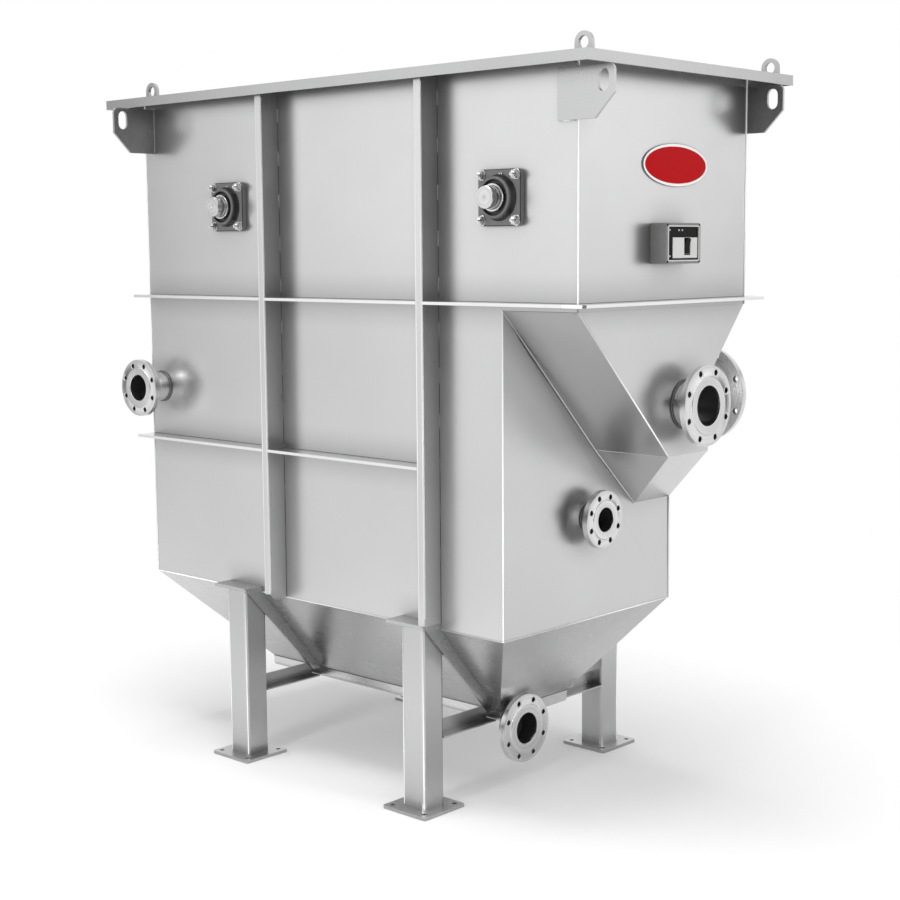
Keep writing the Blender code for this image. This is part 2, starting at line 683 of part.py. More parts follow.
# Nozzles
def nozzle_profile(size, length, back):
    pipe, bore, flange, raised = (size[key] / 2 for key in ("pipe", "bore", "flange", "raised"))
    face = length - FLANGE_RAISE
    rear = face - FLANGE_THICK
    return [(bore, back), (bore, length), (raised, length), (raised, face), (flange, face), (flange, rear),
            (pipe + FLANGE_HUB / 2, rear), (pipe, rear - FLANGE_HUB), (pipe, SEAT)]


def make_nozzle(name, size, origin, direction, length, closed_back=False):
    profile = nozzle_profile(size, length, SEAT + WALL if closed_back else SEAT)
    if closed_back:
        profile = [(0, SEAT), (0, SEAT + WALL)] + profile
    bm = bmesh.new()
    place = facing(direction, origin)
    turned(bm, profile, FLANGE_SIDES, place)
    nozzle = finish_object(name, bm, TURNED, smooth=True)
    drills = bmesh.new()
    for k in range(FLANGE_BOLTS):
        angle = (k + 0.5) * 2 * math.pi / FLANGE_BOLTS
        centre = (size["pcd"] / 2 * math.cos(angle), size["pcd"] / 2 * math.sin(angle))
        hole = circle(centre, size["hole"] / 2, HOLE_SIDES)
        plate(drills, hole, 2, length - 2 * FLANGE_THICK, length + FLANGE_THICK)
    bmesh.ops.transform(drills, matrix=place, verts=drills.verts)
    combine(nozzle, drills, "DIFFERENCE", f"{name}_bolt_holes")
    return nozzle


def make_nozzles():
    make_nozzle("inlet_nozzle", INLET, (LEFT + INLET_X, -HALF, INLET_LEVEL), (0, -1, 0), INLET_OUT)
    make_nozzle("outlet_nozzle", OUTLET, (STEP_X, OUTLET_Y, OUTLET_LEVEL), (1, 0, 0), OUTLET_OUT)
    make_nozzle("float_nozzle", FLOAT, (END_X, FLOAT_Y, FLOAT_LEVEL), (1, 0, 0), FLOAT_OUT)
    sludge_place = (LEFT + SLUDGE_FOOT_RIGHT, SLUDGE_Y, SLUDGE_LEVEL)
    sludge = make_nozzle("sludge_nozzle", SLUDGE, sludge_place, (1, 0, 0), SLUDGE_OUT, closed_back=True)
    window = bmesh.new()
    outlet_window(window)
    combine(sludge, window, "DIFFERENCE", "sludge_window")
    rear_length = HALF + REAR_OUT - FLOAT_SIDE_Y
    rear = make_nozzle("rear_nozzle", REAR, (REAR_X, FLOAT_SIDE_Y, FLOAT_LEVEL), (0, 1, 0), rear_length)
    cope = bmesh.new()
    gap = 2 * SEAT
    slanted = [(STEP_X - HOPPER_REACH, FLOAT_SIDE_Y - WALL), (END_X + gap, FLOAT_SIDE_Y - WALL),
               (END_X + gap, FLOAT_SIDE_Y), (STEP_X + gap, HALF), (STEP_X + gap, HALF + gap),
               (STEP_X - HOPPER_REACH, HALF + gap)]
    plate(cope, slanted, 2, FLOAT_LEVEL - REAR["flange"], FLOAT_LEVEL + REAR["flange"])
    combine(rear, cope, "DIFFERENCE", "rear_nozzle_cope")


# Lifting eyes, brackets and lugs
def make_eyes():
    radius = EYE_WIDTH / 2
    centre_z = TOP_Z + EYE_HEIGHT - radius
    angles = [math.pi * k / EYE_ARC_STEPS for k in range(EYE_ARC_STEPS + 1)]
    for side, label in ((-1, "near"), (1, "far")):
        for name, x in (("left", LEFT + EYE_LEFT_X), ("right", END_X + EYE_PAST_END)):
            arc = [(x + radius * math.cos(angle), centre_z + radius * math.sin(angle)) for angle in angles]
            outline = [(x + radius, TOP_Z + SEAT)] + arc + [(x - radius, TOP_Z + SEAT)]
            middle = side * (HALF + EYE_FROM_WALL)
            hole = circle((x, centre_z), EYE_HOLE, BORE_SIDES)
            bm = bmesh.new()
            plate(bm, outline, 1, middle - EYE_THICK / 2, middle + EYE_THICK / 2, [hole])
            finish_object(f"lifting_eye_{label}_{name}", bm, STEEL)


def bracket_outline(start, reach, height):
    """Bracket from the wall outwards, with its lower outer corner cut off."""
    top = BRACKET_TOP
    bottom = top - height
    end = start + reach
    return rounded([(start, bottom, 0), (end - BRACKET_CUT, bottom, 0), (end, bottom + BRACKET_CUT, 0),
                    (end, top, BRACKET_CORNER), (start, top, 0)])


def slot_outline(end):
    """Upright slot with round ends near a bracket's outer edge."""
    top = BRACKET_TOP - SLOT_TOP
    low_a, high_a = end - SLOT_EDGE - SLOT_WIDTH, end - SLOT_EDGE
    radius = SLOT_WIDTH / 2 - SEAT
    return rounded([(a, b, radius) for a, b in rectangle(low_a, top - SLOT_HEIGHT, high_a, top)])


def make_brackets():
    for side, label in ((-1, "near"), (1, "far")):
        start = HALF + SEAT
        flip = [(side * a, b) for a, b in bracket_outline(start, BRACKET_REACH, BRACKET_HEIGHT)]
        slot = [(side * a, b) for a, b in slot_outline(start + BRACKET_REACH)]
        x = LEFT + BRACKET_X
        bm = bmesh.new()
        plate(bm, flip, 0, x - BRACKET_THICK / 2, x + BRACKET_THICK / 2, [slot])
        finish_object(f"bracket_{label}_left", bm, STEEL)
        lug = bracket_outline(END_X - LUG_BACK, LUG_BACK + LUG_FRONT, LUG_HEIGHT)
        low_y, high_y = sorted((side * (HALF + SEAT), side * (HALF + SEAT + BRACKET_THICK)))
        bm = bmesh.new()
        plate(bm, lug, 1, low_y, high_y, [slot_outline(END_X + LUG_FRONT)])
        finish_object(f"bracket_{label}_right", bm, STEEL)


# Skimmer
def make_bearing(name, side, x):
    face = HALF + SEAT
    front = face + BEARING_PLATE
    z = SHAFT_LEVEL
    half = BEARING_SIZE / 2
    bore = bored(SHAFT_RADIUS, SHAFT_SIDES)
    bm = bmesh.new()
    square = rectangle(x - half, z - half, x + half, z + half)
    low_y, high_y = sorted((side * face, side * front))
    plate(bm, rounded([(a, b, BEARING_CORNER) for a, b in square]), 1, low_y, high_y,
          [circle((x, z), bore, SHAFT_SIDES)])
    housing = finish_object(name, bm, CAST)
    hub = bmesh.new()
    depth = BEARING_DEPTH
    profile = [(bore, BEARING_PLATE / 2), (bore, depth), (BEARING_HUB - BEARING_MOUTH, depth),
               (BEARING_HUB, depth - BEARING_CHAMFER), (BEARING_HUB + BEARING_FLARE, BEARING_PLATE / 2)]
    turned(hub, profile, SHAFT_SIDES, facing((0, side, 0), (x, side * face, z)))
    combine(housing, hub, "UNION", f"{name}_hub")
    nuts = bmesh.new()
    reach = BEARING_BOLT_PITCH / 2
    for a in (-reach, reach):
        for b in (-reach, reach):
            low_y, high_y = sorted((side * (front - NUT_SINK), side * (front + NUT_HEIGHT)))
            plate(nuts, circle((x + a, z + b), NUT_RADIUS, 6), 1, low_y, high_y)
    combine(housing, nuts, "UNION", f"{name}_nuts")
    studs = bmesh.new()
    for a in (-reach, reach):
        for b in (-reach, reach):
            low_y, high_y = sorted((side * front, side * (front + NUT_HEIGHT + STUD_OUT)))
            plate(studs, circle((x + a, z + b), STUD_RADIUS, 6), 1, low_y, high_y)
    combine(housing, studs, "UNION", f"{name}_studs")


def sprocket_outline(x, z):
    """Round-bottomed teeth that seat a roller in each gap, one pin at the top."""
    outline = []
    turn = 2 * math.pi / TEETH
    for k in range(TEETH):
        seat_angle = math.pi / 2 + k * turn
        for share in (-1, -1 / 3, 1 / 3, 1):
            swing = share * TOOTH_SEAT_SWING
            inward = seat_angle + math.pi - math.radians(swing)
            across = PITCH_RADIUS * math.cos(seat_angle) + ROLLER_RADIUS * math.cos(inward)
            up = PITCH_RADIUS * math.sin(seat_angle) + ROLLER_RADIUS * math.sin(inward)
            outline.append((x + across, z + up))
        for side in (-1, 1):
            tip = PITCH_RADIUS + TOOTH_TIP
            angle = seat_angle + turn * (1 + side * TOOTH_TIP_SHARE) / 2
            outline.append((x + tip * math.cos(angle), z + tip * math.sin(angle)))
    return outline


def shoulder_radius():
    """Radius of the sprocket's shoulders, which carry the inner edges of the links."""
    eye = PITCH_RADIUS - LINK_EYE
    waist = PITCH_RADIUS * math.cos(HALF_LINK_TURN) - LINK_WAIST
    edge = math.dist((eye, 0), (waist * math.cos(HALF_LINK_TURN), waist * math.sin(HALF_LINK_TURN)))
    return eye * waist * math.sin(HALF_LINK_TURN) / edge - SEAT


def make_shaft(name, x, shoulder, journal=0.0):
    """Through shaft with its sprockets, and a thinner journal past its shoulder for the gearbox."""
    z = SHAFT_LEVEL
    near_end = -(HALF + SHAFT_OUT)
    length = shoulder - near_end
    nose = SHAFT_NOSE
    profile = [(0, SHAFT_DIMPLE), (SHAFT_DIMPLE_RADIUS, 0), (SHAFT_RADIUS - nose, 0), (SHAFT_RADIUS, nose)]
    profile += [(SHAFT_RADIUS, length - nose), (SHAFT_RADIUS - nose, length)]
    if journal:
        end = length + journal
        profile += [(JOURNAL_RADIUS, length), (JOURNAL_RADIUS, end - nose), (JOURNAL_RADIUS - nose, end)]
        length = end
    profile.append((0, length))
    bm = bmesh.new()
    turned(bm, profile, SHAFT_SIDES, facing((0, 1, 0), (x, near_end, z)))
    shaft = finish_object(name, bm, TURNED, smooth=True)
    wheels = bmesh.new()
    shoulders = bmesh.new()
    reach = TOOTH_WIDTH / 2 + CHAIN_SIDE_GAP + LINK_THICK
    for centre in (-CHAIN_Y, CHAIN_Y):
        plate(wheels, sprocket_outline(x, z), 1, centre - TOOTH_WIDTH / 2, centre + TOOTH_WIDTH / 2)
        round_shoulder = circle((x, z), shoulder_radius(), 2 * TEETH, HALF_LINK_TURN / 2)
        plate(shoulders, round_shoulder, 1, centre - reach, centre + reach)
    combine(shaft, wheels, "UNION", f"{name}_sprockets")
    combine(shaft, shoulders, "UNION", f"{name}_shoulders")


def chain_pins(left, right, z):
    """Pin centres round both sprockets, and the outward direction at each."""
    turn = 2 * math.pi / TEETH
    pins = []
    for k in range(CHAIN_RUN + 1):
        pins.append((Vector((right - k * CHAIN_PITCH, z + PITCH_RADIUS)), Vector((0, 1))))
    for k in range(1, TEETH // 2):
        way = Vector((math.cos(math.pi / 2 + k * turn), math.sin(math.pi / 2 + k * turn)))
        pins.append((Vector((left, z)) + PITCH_RADIUS * way, way))
    for k in range(CHAIN_RUN + 1):
        pins.append((Vector((left + k * CHAIN_PITCH, z - PITCH_RADIUS)), Vector((0, -1))))
    for k in range(1, TEETH // 2):
        way = Vector((math.cos(-math.pi / 2 + k * turn), math.sin(-math.pi / 2 + k * turn)))
        pins.append((Vector((right, z)) + PITCH_RADIUS * way, way))
    return pins


def make_chain():
    """Both chains with the flights that tie them. Pins stand only on the straight runs."""
    z = SHAFT_LEVEL
    left, right = LEFT + IDLER_X, LEFT + DRIVE_X
    pins = chain_pins(left, right, z)
    loops = {1: [], -1: []}
    for i, (pin, way) in enumerate(pins):
        after, after_way = pins[(i + 1) % len(pins)]
        across = Vector((after.y - pin.y, pin.x - after.x)).normalized()
        if across.dot(way) < 0:
            across.negate()
        for sign, loop in loops.items():
            loop.append(tuple(pin + sign * LINK_EYE * way))
            loop.append(tuple((pin + after) / 2 + sign * LINK_WAIST * across))
    bm = bmesh.new()
    inner = TOOTH_WIDTH / 2 + CHAIN_SIDE_GAP
    for centre in (-CHAIN_Y, CHAIN_Y):
        for sign in (-1, 1):
            low_y, high_y = sorted((centre + sign * inner, centre + sign * (inner + LINK_THICK)))
            plate(bm, loops[1], 1, low_y, high_y, [loops[-1]])
    chain = finish_object("skimmer_chain", bm, STEEL)
    rollers = bmesh.new()
    for k in range(2, CHAIN_RUN - 1):
        for height in (PITCH_RADIUS, -PITCH_RADIUS):
            for centre in (-CHAIN_Y, CHAIN_Y):
                plate(rollers, circle((left + k * CHAIN_PITCH, z + height), ROLLER_RADIUS, 6), 1,
                      centre - inner - LINK_THICK / 2, centre + inner + LINK_THICK / 2)
    combine(chain, rollers, "UNION", "chain_rollers")
    flights = bmesh.new()
    blade = HALF - WALL - FLIGHT_GAP
    for k in range(3, CHAIN_RUN - 2, FLIGHT_PITCH):
        middle = left + (k + 0.5) * CHAIN_PITCH
        for sign in (-1, 1):
            base = z + sign * (PITCH_RADIUS + LINK_WAIST - FLIGHT_SINK)
            foot = base + sign * FLIGHT_THICK
            tip = base + sign * FLIGHT_HEIGHT
            front = middle - FLIGHT_THICK / 2
            back = front + FLIGHT_THICK
            left_foot, right_foot = middle - FLIGHT_FOOT / 2, middle + FLIGHT_FOOT / 2
            section = [(left_foot, base), (right_foot, base), (right_foot, foot), (back, foot), (back, tip),
                       (front, tip), (front, foot), (left_foot, foot)]
            plate(flights, section, 1, -blade, blade)
    combine(chain, flights, "UNION", "chain_flights")


def make_gear_motor():
    """Hollow-shaft gearbox on the drive shaft's journal, with its motor hanging below."""
    z = SHAFT_LEVEL
    x = LEFT + DRIVE_X
    start = HALF + SEAT + BEARING_DEPTH + GEARBOX_GAP
    half = GEARBOX_SIZE / 2
    bm = bmesh.new()
    square = rectangle(x - half, z - half, x + half, z + half)
    plate(bm, rounded([(a, b, GEARBOX_CORNER) for a, b in square]), 1, start, start + GEARBOX_DEPTH)
    motor = finish_object("gear_motor", bm, CAST)
    barrel = bmesh.new()
    tail = half + MOTOR_LENGTH
    top = half - GEARBOX_CORNER
    profile = [(0, top), (MOTOR_RADIUS, top), (MOTOR_RADIUS, tail - MOTOR_CHAMFER),
               (MOTOR_RADIUS - MOTOR_CHAMFER, tail), (0, tail)]
    turned(barrel, profile, SHAFT_SIDES, facing((0, 0, -1), (x, start + GEARBOX_DEPTH / 2, z)))
    combine(motor, barrel, "UNION", "gear_motor_barrel")
    bore = bmesh.new()
    radius = bored(JOURNAL_RADIUS, SHAFT_SIDES)
    plate(bore, circle((x, z), radius, SHAFT_SIDES), 1, start - WALL, start + GEARBOX_DEPTH + WALL)
    combine(motor, bore, "DIFFERENCE", "gear_motor_bore")


def make_skimmer():
    left, right = LEFT + IDLER_X, LEFT + DRIVE_X
    for side, label in ((-1, "near"), (1, "far")):
        make_bearing(f"bearing_{label}_left", side, left)
        make_bearing(f"bearing_{label}_right", side, right)
    make_shaft("idler_shaft", left, HALF + SHAFT_OUT)
    shoulder = HALF + SEAT + BEARING_DEPTH
    make_shaft("drive_shaft", right, shoulder, GEARBOX_GAP + GEARBOX_DEPTH)
    make_chain()
    make_gear_motor()


# Inside the tank
def make_beach():
    """Folded sheet: a crest on the lower end wall, a beach down to the water, and a skirt that
    keeps the oil away from the outlet."""
    x = STEP_X
    toe = x - BEACH_RUN
    foot = CREST - BEACH_FALL
    skirt = EDGE_Z + SKIRT_BOTTOM
    outline = [(x - WALL, STEP_Z + SEAT), (x, STEP_Z + SEAT), (x, CREST), (toe, foot), (toe, skirt),
               (toe + WALL, skirt), (toe + WALL, foot - WALL), (x - WALL, CREST - WALL)]
    half = HALF - WALL - SEAT
    bm = bmesh.new()
    plate(bm, outline, 1, -half, half)
    finish_object("beach", bm, STEEL)


def make_baffle():
    half = HALF - WALL - SEAT
    x = LEFT + BAFFLE_X
    low, high = EDGE_Z + BAFFLE_BOTTOM, EDGE_Z + BAFFLE_TOP
    outline = [(x - BAFFLE_RETURN, low), (x + WALL, low), (x + WALL, high), (x, high), (x, low + WALL),
               (x - BAFFLE_RETURN, low + WALL)]
    bm = bmesh.new()
    plate(bm, outline, 1, -half, half)
    finish_object("inlet_baffle", bm, STEEL)


# Control box and badge
def make_control_box():
    low_y, high_y = BOX_Y, BOX_Y + BOX_WIDTH
    low_z, high_z = BOX_BOTTOM, BOX_BOTTOM + BOX_HEIGHT
    front = END_X + BOX_DEPTH
    bm = bmesh.new()
    outline = rounded([(a, b, BOX_CORNER) for a, b in rectangle(low_y, low_z, high_y, high_z)])
    plate(bm, outline, 0, END_X + SEAT, front)
    box = finish_object("control_box", bm, PLASTIC)
    pocket = bmesh.new()
    edge = BOX_PANEL_EDGE
    plate(pocket, rectangle(low_y + edge, low_z + edge, high_y - edge, high_z - edge), 0,
          front - BOX_PANEL_DEPTH, front + BOX_PANEL_DEPTH)
    combine(box, pocket, "DIFFERENCE", "control_panel_recess")
    well = bmesh.new()
    half_y, half_z = ROCKER_WIDTH / 2 + ROCKER_GAP, ROCKER_HEIGHT / 2 + ROCKER_GAP
    mouth = rectangle(ROCKER_Y - half_y, ROCKER_LEVEL - half_z, ROCKER_Y + half_y, ROCKER_LEVEL + half_z)
    plate(well, mouth, 0, front - BOX_PANEL_DEPTH - 2 * ROCKER_DEPTH, front)
    combine(box, well, "DIFFERENCE", "rocker_well")


def make_rocker():
    """Rocker on a pivot pin, pressed in at its lower end at rest."""
    half = ROCKER_HEIGHT / 2
    valley = ROCKER_PROUD
    crest = valley + half * math.tan(math.radians(ROCKER_TILT))
    taper = half * ROCKER_TAPER
    outline = [(-ROCKER_DEPTH, -taper), (crest, -half), (valley, 0), (crest, half), (-ROCKER_DEPTH, taper)]
    bm = bmesh.new()
    plate(bm, outline, 1, -ROCKER_WIDTH / 2, ROCKER_WIDTH / 2)
    rocker = finish_object("switch_rocker", bm, BLACK)
    pin = bmesh.new()
    reach = ROCKER_WIDTH / 2 + ROCKER_GAP - SEAT
    plate(pin, circle((0, 0), ROCKER_PIN, HOLE_SIDES), 1, -reach, reach)
    for piece in (rocker, combine(rocker, pin, "UNION", "rocker_pin")):
        piece.location = (END_X + BOX_DEPTH - BOX_PANEL_DEPTH - ROCKER_PIN, ROCKER_Y, ROCKER_LEVEL)
        piece.rotation_euler = (0, math.radians(ROCKER_TILT), 0)


def make_badge():
    """Oval plate with a raised rim and a plain sunk field."""
    half_a, half_b = BADGE_WIDTH / 2, BADGE_HEIGHT / 2
    levels = [(0, SEAT), (0, BADGE_THICK - BADGE_CHAMFER), (BADGE_CHAMFER, BADGE_THICK),
              (BADGE_RIM, BADGE_THICK), (BADGE_RIM, BADGE_THICK - BADGE_SINK)]
    bm = bmesh.new()
    rings = []
    for inset, out in levels:
        ring = []
        for a, b in circle((0, 0), 1.0, FLANGE_SIDES):
            y = BADGE_Y + a * (half_a - inset)
            z = BADGE_LEVEL + b * (half_b - inset)
            ring.append(bm.verts.new((END_X + out, y, z)))
        rings.append(ring)
    for first, second in zip(rings, rings[1:]):
        for k in range(FLANGE_SIDES):
            bm.faces.new([first[k - 1], first[k], second[k], second[k - 1]])
    bm.faces.new(rings[0])
    bm.faces.new(rings[-1])
    finish_object("badge", bm, RED)


def main():
    for item in list(bpy.data.objects):
        bpy.data.objects.remove(item, do_unlink=True)
    make_tank()
    make_sludge_hopper()
    make_trough()
    make_float_hopper()
    make_rim()
    make_stiffeners()
    make_ribs()
    make_supports()
    make_nozzles()
    make_eyes()
    make_brackets()
    make_skimmer()
    make_beach()
    make_baffle()
    make_control_box()
    make_rocker()
    make_badge()


main()
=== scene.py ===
import math

import bmesh
import bpy
from mathutils import Matrix, Vector


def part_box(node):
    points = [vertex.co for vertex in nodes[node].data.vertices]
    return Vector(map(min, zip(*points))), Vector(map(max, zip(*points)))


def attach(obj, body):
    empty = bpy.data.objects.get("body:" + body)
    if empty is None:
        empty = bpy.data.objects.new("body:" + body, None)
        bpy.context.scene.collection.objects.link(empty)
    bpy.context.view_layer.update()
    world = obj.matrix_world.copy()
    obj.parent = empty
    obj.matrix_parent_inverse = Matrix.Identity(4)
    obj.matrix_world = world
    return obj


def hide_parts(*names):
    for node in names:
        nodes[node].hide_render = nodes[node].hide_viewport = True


# The camera, fitted to the corners of the tank in the photograph
CAMERA_PLACE = Vector((4.1255, -4.346, 1.9035))
CAMERA_HEADING = math.radians(47.109)
CAMERA_PITCH = math.radians(-7.122)
CAMERA_ROLL = math.radians(-0.401)
CAMERA_LENS = 64.7

# Light
WORLD_LEVEL = 0.62
FLOOR_COLOUR = 0.88
FLOOR_GLOW = 0.08
GLOW_STARTS = 1.5
GLOW_FULL = 3.6
STUDIO_SIZE = 60.0
FLAG_SIZE = (7.0, 7.0)

# Sheet, edges and welds
EDGE_ROUND = 0.0026
CHANNEL_ROUND = 0.0018
# Painted shade near inner corners: how far it reaches and how dark it gets
CORNER_SHADE_REACH = 0.10
CORNER_SHADE_LEVEL = 0.70
LEG_HALF = 0.050
LEG_ARC = 0.010
LEG_TOP = 0.632
FOOT_TOP = 0.014
# Painted highlight lines along the tank's corners, foot and folds
HIGHLIGHT_LINE = 0.0034
SKIN_GAP = 0.0009
WALL = 0.006

# Float hopper: place across and drop below the step for its knee and its toe
FLOAT_KNEE = (0.023, 0.491)
FLOAT_TOE = (0.249, 0.702)

# Welds, painted edge highlight lines and painted gap shade lines
EDGE_HIGHLIGHT = 0.0030
GAP_SHADE = 0.0016
BEAD = 0.0028
BEAD_STEP = 0.0035
BEAD_RIPPLE = 0.0065
STITCH = 0.050
STITCH_PITCH = 0.150

# Nozzles: outward direction, pipe, bore, raised face, bolt circle and bolt hole
NOZZLES = {
    "inlet_nozzle": ((0, -1, 0), 0.110, 0.101, 0.156, 0.180, 0.018),
    "outlet_nozzle": ((1, 0, 0), 0.089, 0.083, 0.136, 0.160, 0.018),
    "float_nozzle": ((1, 0, 0), 0.156, 0.134, 0.194, 0.231, 0.020),
    "sludge_nozzle": ((1, 0, 0), 0.120, 0.110, 0.172, 0.204, 0.018),
    "rear_nozzle": ((0, 1, 0), 0.219, 0.207, 0.266, 0.295, 0.022)}
FLANGE_THICK = 0.022
FLANGE_RAISE = 0.003
FLANGE_HUB = 0.016
FLANGE_BOLTS = 8
FLANGE_CHAMFER = 0.0015
LATHE_SIDES = 96
NECK_SHORTEST = 0.03

# Bearings and shafts
SHAFT_RADIUS = 0.036
BEARING_CORNER = 0.022
BEARING_PLATE = 0.018
BOLT_REACH = 0.071
JOURNAL_RADIUS = 0.022

# Chain
CHAIN_PITCH = 0.0889
TEETH = 8
CHAIN_Y = 0.345
TOOTH_WIDTH = 0.020
TOOTH_TIP = 0.016
ROLLER_RADIUS = 0.012
PIN_RADIUS = 0.0065
LINK_EYE = 0.020
LINK_WAIST = 0.013
LINK_THICK = 0.0028
FLIGHT_PITCH = 4
FLIGHT_HEIGHT = 0.082
FLIGHT_THICK = 0.008
FLIGHT_FOOT = 0.050
FLIGHT_REACH = 0.442

# Control box and badge
BOX_EDGE = 0.012
BOX_RECESS = 0.004
BADGE_RING = 0.010

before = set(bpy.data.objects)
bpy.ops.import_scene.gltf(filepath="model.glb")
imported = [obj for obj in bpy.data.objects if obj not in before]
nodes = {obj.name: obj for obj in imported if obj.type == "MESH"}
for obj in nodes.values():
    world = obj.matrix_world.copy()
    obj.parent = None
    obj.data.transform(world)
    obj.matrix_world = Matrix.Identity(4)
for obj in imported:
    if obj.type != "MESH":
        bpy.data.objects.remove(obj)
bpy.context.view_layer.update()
PITCH_RADIUS = CHAIN_PITCH / (2 * math.sin(math.pi / TEETH))


# Node trees
def add(tree, kind, **inputs):
    """A node with its inputs set by name: a link where the value is a socket, a value otherwise."""
    made = tree.nodes.new(kind)
    for name, value in inputs.items():
        socket = made.inputs[name.replace("_", " ")]
        if isinstance(value, bpy.types.NodeSocket):
            tree.links.new(value, socket)
        else:
            socket.default_value = value
    return made


def math_node(tree, operation, first, second):
    made = tree.nodes.new("ShaderNodeMath")
    made.operation = operation
    for socket, value in zip(made.inputs, (first, second)):
        if isinstance(value, bpy.types.NodeSocket):
            tree.links.new(value, socket)
        else:
            socket.default_value = value
    return made.outputs[0]


def spread(tree, value, low, high):
    """Map a noise value to a range, kept within it."""
    made = add(tree, "ShaderNodeMapRange", Value=value)
    made.inputs["From Min"].default_value = 0.3
    made.inputs["From Max"].default_value = 0.7
    made.inputs["To Min"].default_value = low
    made.inputs["To Max"].default_value = high
    return made.outputs["Result"]


def noise(tree, stretch, scale, detail=3.0):
    """Noise in the piece's own metres, stretched along an axis by a small scale there."""
    place = add(tree, "ShaderNodeTexCoord").outputs["Object"]
    mapped = add(tree, "ShaderNodeMapping", Vector=place, Scale=stretch)
    made = add(tree, "ShaderNodeTexNoise", Vector=mapped.outputs[0], Scale=scale, Detail=detail)
    return made.outputs["Fac"]


def shade(tree, colour, factor):
    """A colour made lighter or darker by a factor socket."""
    made = tree.nodes.new("ShaderNodeVectorMath")
    made.operation = "SCALE"
    made.inputs[0].default_value = colour
    tree.links.new(factor, made.inputs["Scale"])
    return made.outputs[0]


def start_material(name):
    made = bpy.data.materials.new(name)
    made.use_nodes = True
    return made, made.node_tree, made.node_tree.nodes["Principled BSDF"]


def painted_corner_shade(tree):
    """Painted shade: the steel's colour darkened near inner corners and under overhangs, read from ambient
    occlusion.
    """
    inner = add(tree, "ShaderNodeAmbientOcclusion", Distance=CORNER_SHADE_REACH)
    inner.samples = 8
    made = add(tree, "ShaderNodeMapRange", Value=inner.outputs["AO"])
    made.inputs["From Min"].default_value = 0.45
    made.inputs["From Max"].default_value = 1.0
    made.inputs["To Min"].default_value = CORNER_SHADE_LEVEL
    made.inputs["To Max"].default_value = 1.0
    return made.outputs["Result"]


def brushed(name, colour, roughness, grain, bump=0.004, cloud=0.03):
    """Stainless steel with a fine grain, soft clouds of tone, small marks from handling, and painted shade
    near inner corners.
    """
    made, tree, shader = start_material(name)
    shader.inputs["Metallic"].default_value = 1.0
    lines = noise(tree, grain, 1.0, 1.0)
    clouds = noise(tree, (1, 1, 1), 1.7, 2.0)
    patches = noise(tree, (1, 1, 1), 9.0, 3.0)
    tone = math_node(tree, "MULTIPLY", spread(tree, clouds, 1 - cloud, 1 + cloud),
                     spread(tree, lines, 0.992, 1.008))
    # Painted shade: the colour is darkened near inner corners by ambient occlusion
    tone = math_node(tree, "MULTIPLY", tone, painted_corner_shade(tree))
    tree.links.new(shade(tree, colour, tone), shader.inputs["Base Color"])
    rough = math_node(tree, "ADD", spread(tree, patches, roughness - 0.012, roughness + 0.012),
                      spread(tree, lines, -0.01, 0.01))
    tree.links.new(rough, shader.inputs["Roughness"])
    relief = add(tree, "ShaderNodeBump", Height=lines, Strength=bump, Distance=0.0004)
    tree.links.new(relief.outputs[0], shader.inputs["Normal"])
    return made


def turned_metal(name, colour, roughness, ring_pitch=0.0016, anisotropy=0.6):
    """Lathe-turned steel: fine rings about the piece's own Z axis."""
    made, tree, shader = start_material(name)
    shader.inputs["Metallic"].default_value = 1.0
    shader.inputs["Anisotropic"].default_value = anisotropy
    place = add(tree, "ShaderNodeTexCoord").outputs["Object"]
    parts = add(tree, "ShaderNodeSeparateXYZ", Vector=place)
    flat = add(tree, "ShaderNodeCombineXYZ", X=parts.outputs[0], Y=parts.outputs[1])
    length = tree.nodes.new("ShaderNodeVectorMath")
    length.operation = "LENGTH"
    tree.links.new(flat.outputs[0], length.inputs[0])
    ring = add(tree, "ShaderNodeCombineXYZ", X=length.outputs["Value"], Y=parts.outputs[2])
    lines = add(tree, "ShaderNodeTexNoise", Vector=ring.outputs[0], Scale=1 / ring_pitch, Detail=2.0)
    bands = add(tree, "ShaderNodeTexNoise", Vector=ring.outputs[0], Scale=90.0, Detail=2.0)
    tone = math_node(tree, "MULTIPLY", spread(tree, bands.outputs["Fac"], 0.9, 1.08),
                     spread(tree, lines.outputs["Fac"], 0.96, 1.04))
    tree.links.new(shade(tree, colour, tone), shader.inputs["Base Color"])
    rough = spread(tree, lines.outputs["Fac"], roughness - 0.06, roughness + 0.08)
    tree.links.new(rough, shader.inputs["Roughness"])
    relief = add(tree, "ShaderNodeBump", Height=lines.outputs["Fac"], Strength=0.12, Distance=0.0003)
    tree.links.new(relief.outputs[0], shader.inputs["Normal"])
    tangent = tree.nodes.new("ShaderNodeTangent")
    tangent.direction_type = "RADIAL"
    tangent.axis = "Z"
    tree.links.new(tangent.outputs[0], shader.inputs["Tangent"])
    return made


def painted(name, colour, roughness, coat=0.0, grain_scale=900.0, bump=0.15, cloud=0.06):
    """Paint, plastic or enamel with a fine orange peel and slight differences of tone."""
    made, tree, shader = start_material(name)
    shader.inputs["Coat Weight"].default_value = coat
    shader.inputs["Coat Roughness"].default_value = 0.08
    peel = noise(tree, (1, 1, 1), grain_scale, 2.0)
    clouds = noise(tree, (1, 1, 1), 14.0, 3.0)
    tone = spread(tree, clouds, 1 - cloud, 1 + cloud)
    tree.links.new(shade(tree, colour, tone), shader.inputs["Base Color"])
    tree.links.new(spread(tree, clouds, roughness - 0.04, roughness + 0.05), shader.inputs["Roughness"])
    relief = add(tree, "ShaderNodeBump", Height=peel, Strength=bump, Distance=0.0003)
    tree.links.new(relief.outputs[0], shader.inputs["Normal"])
    return made


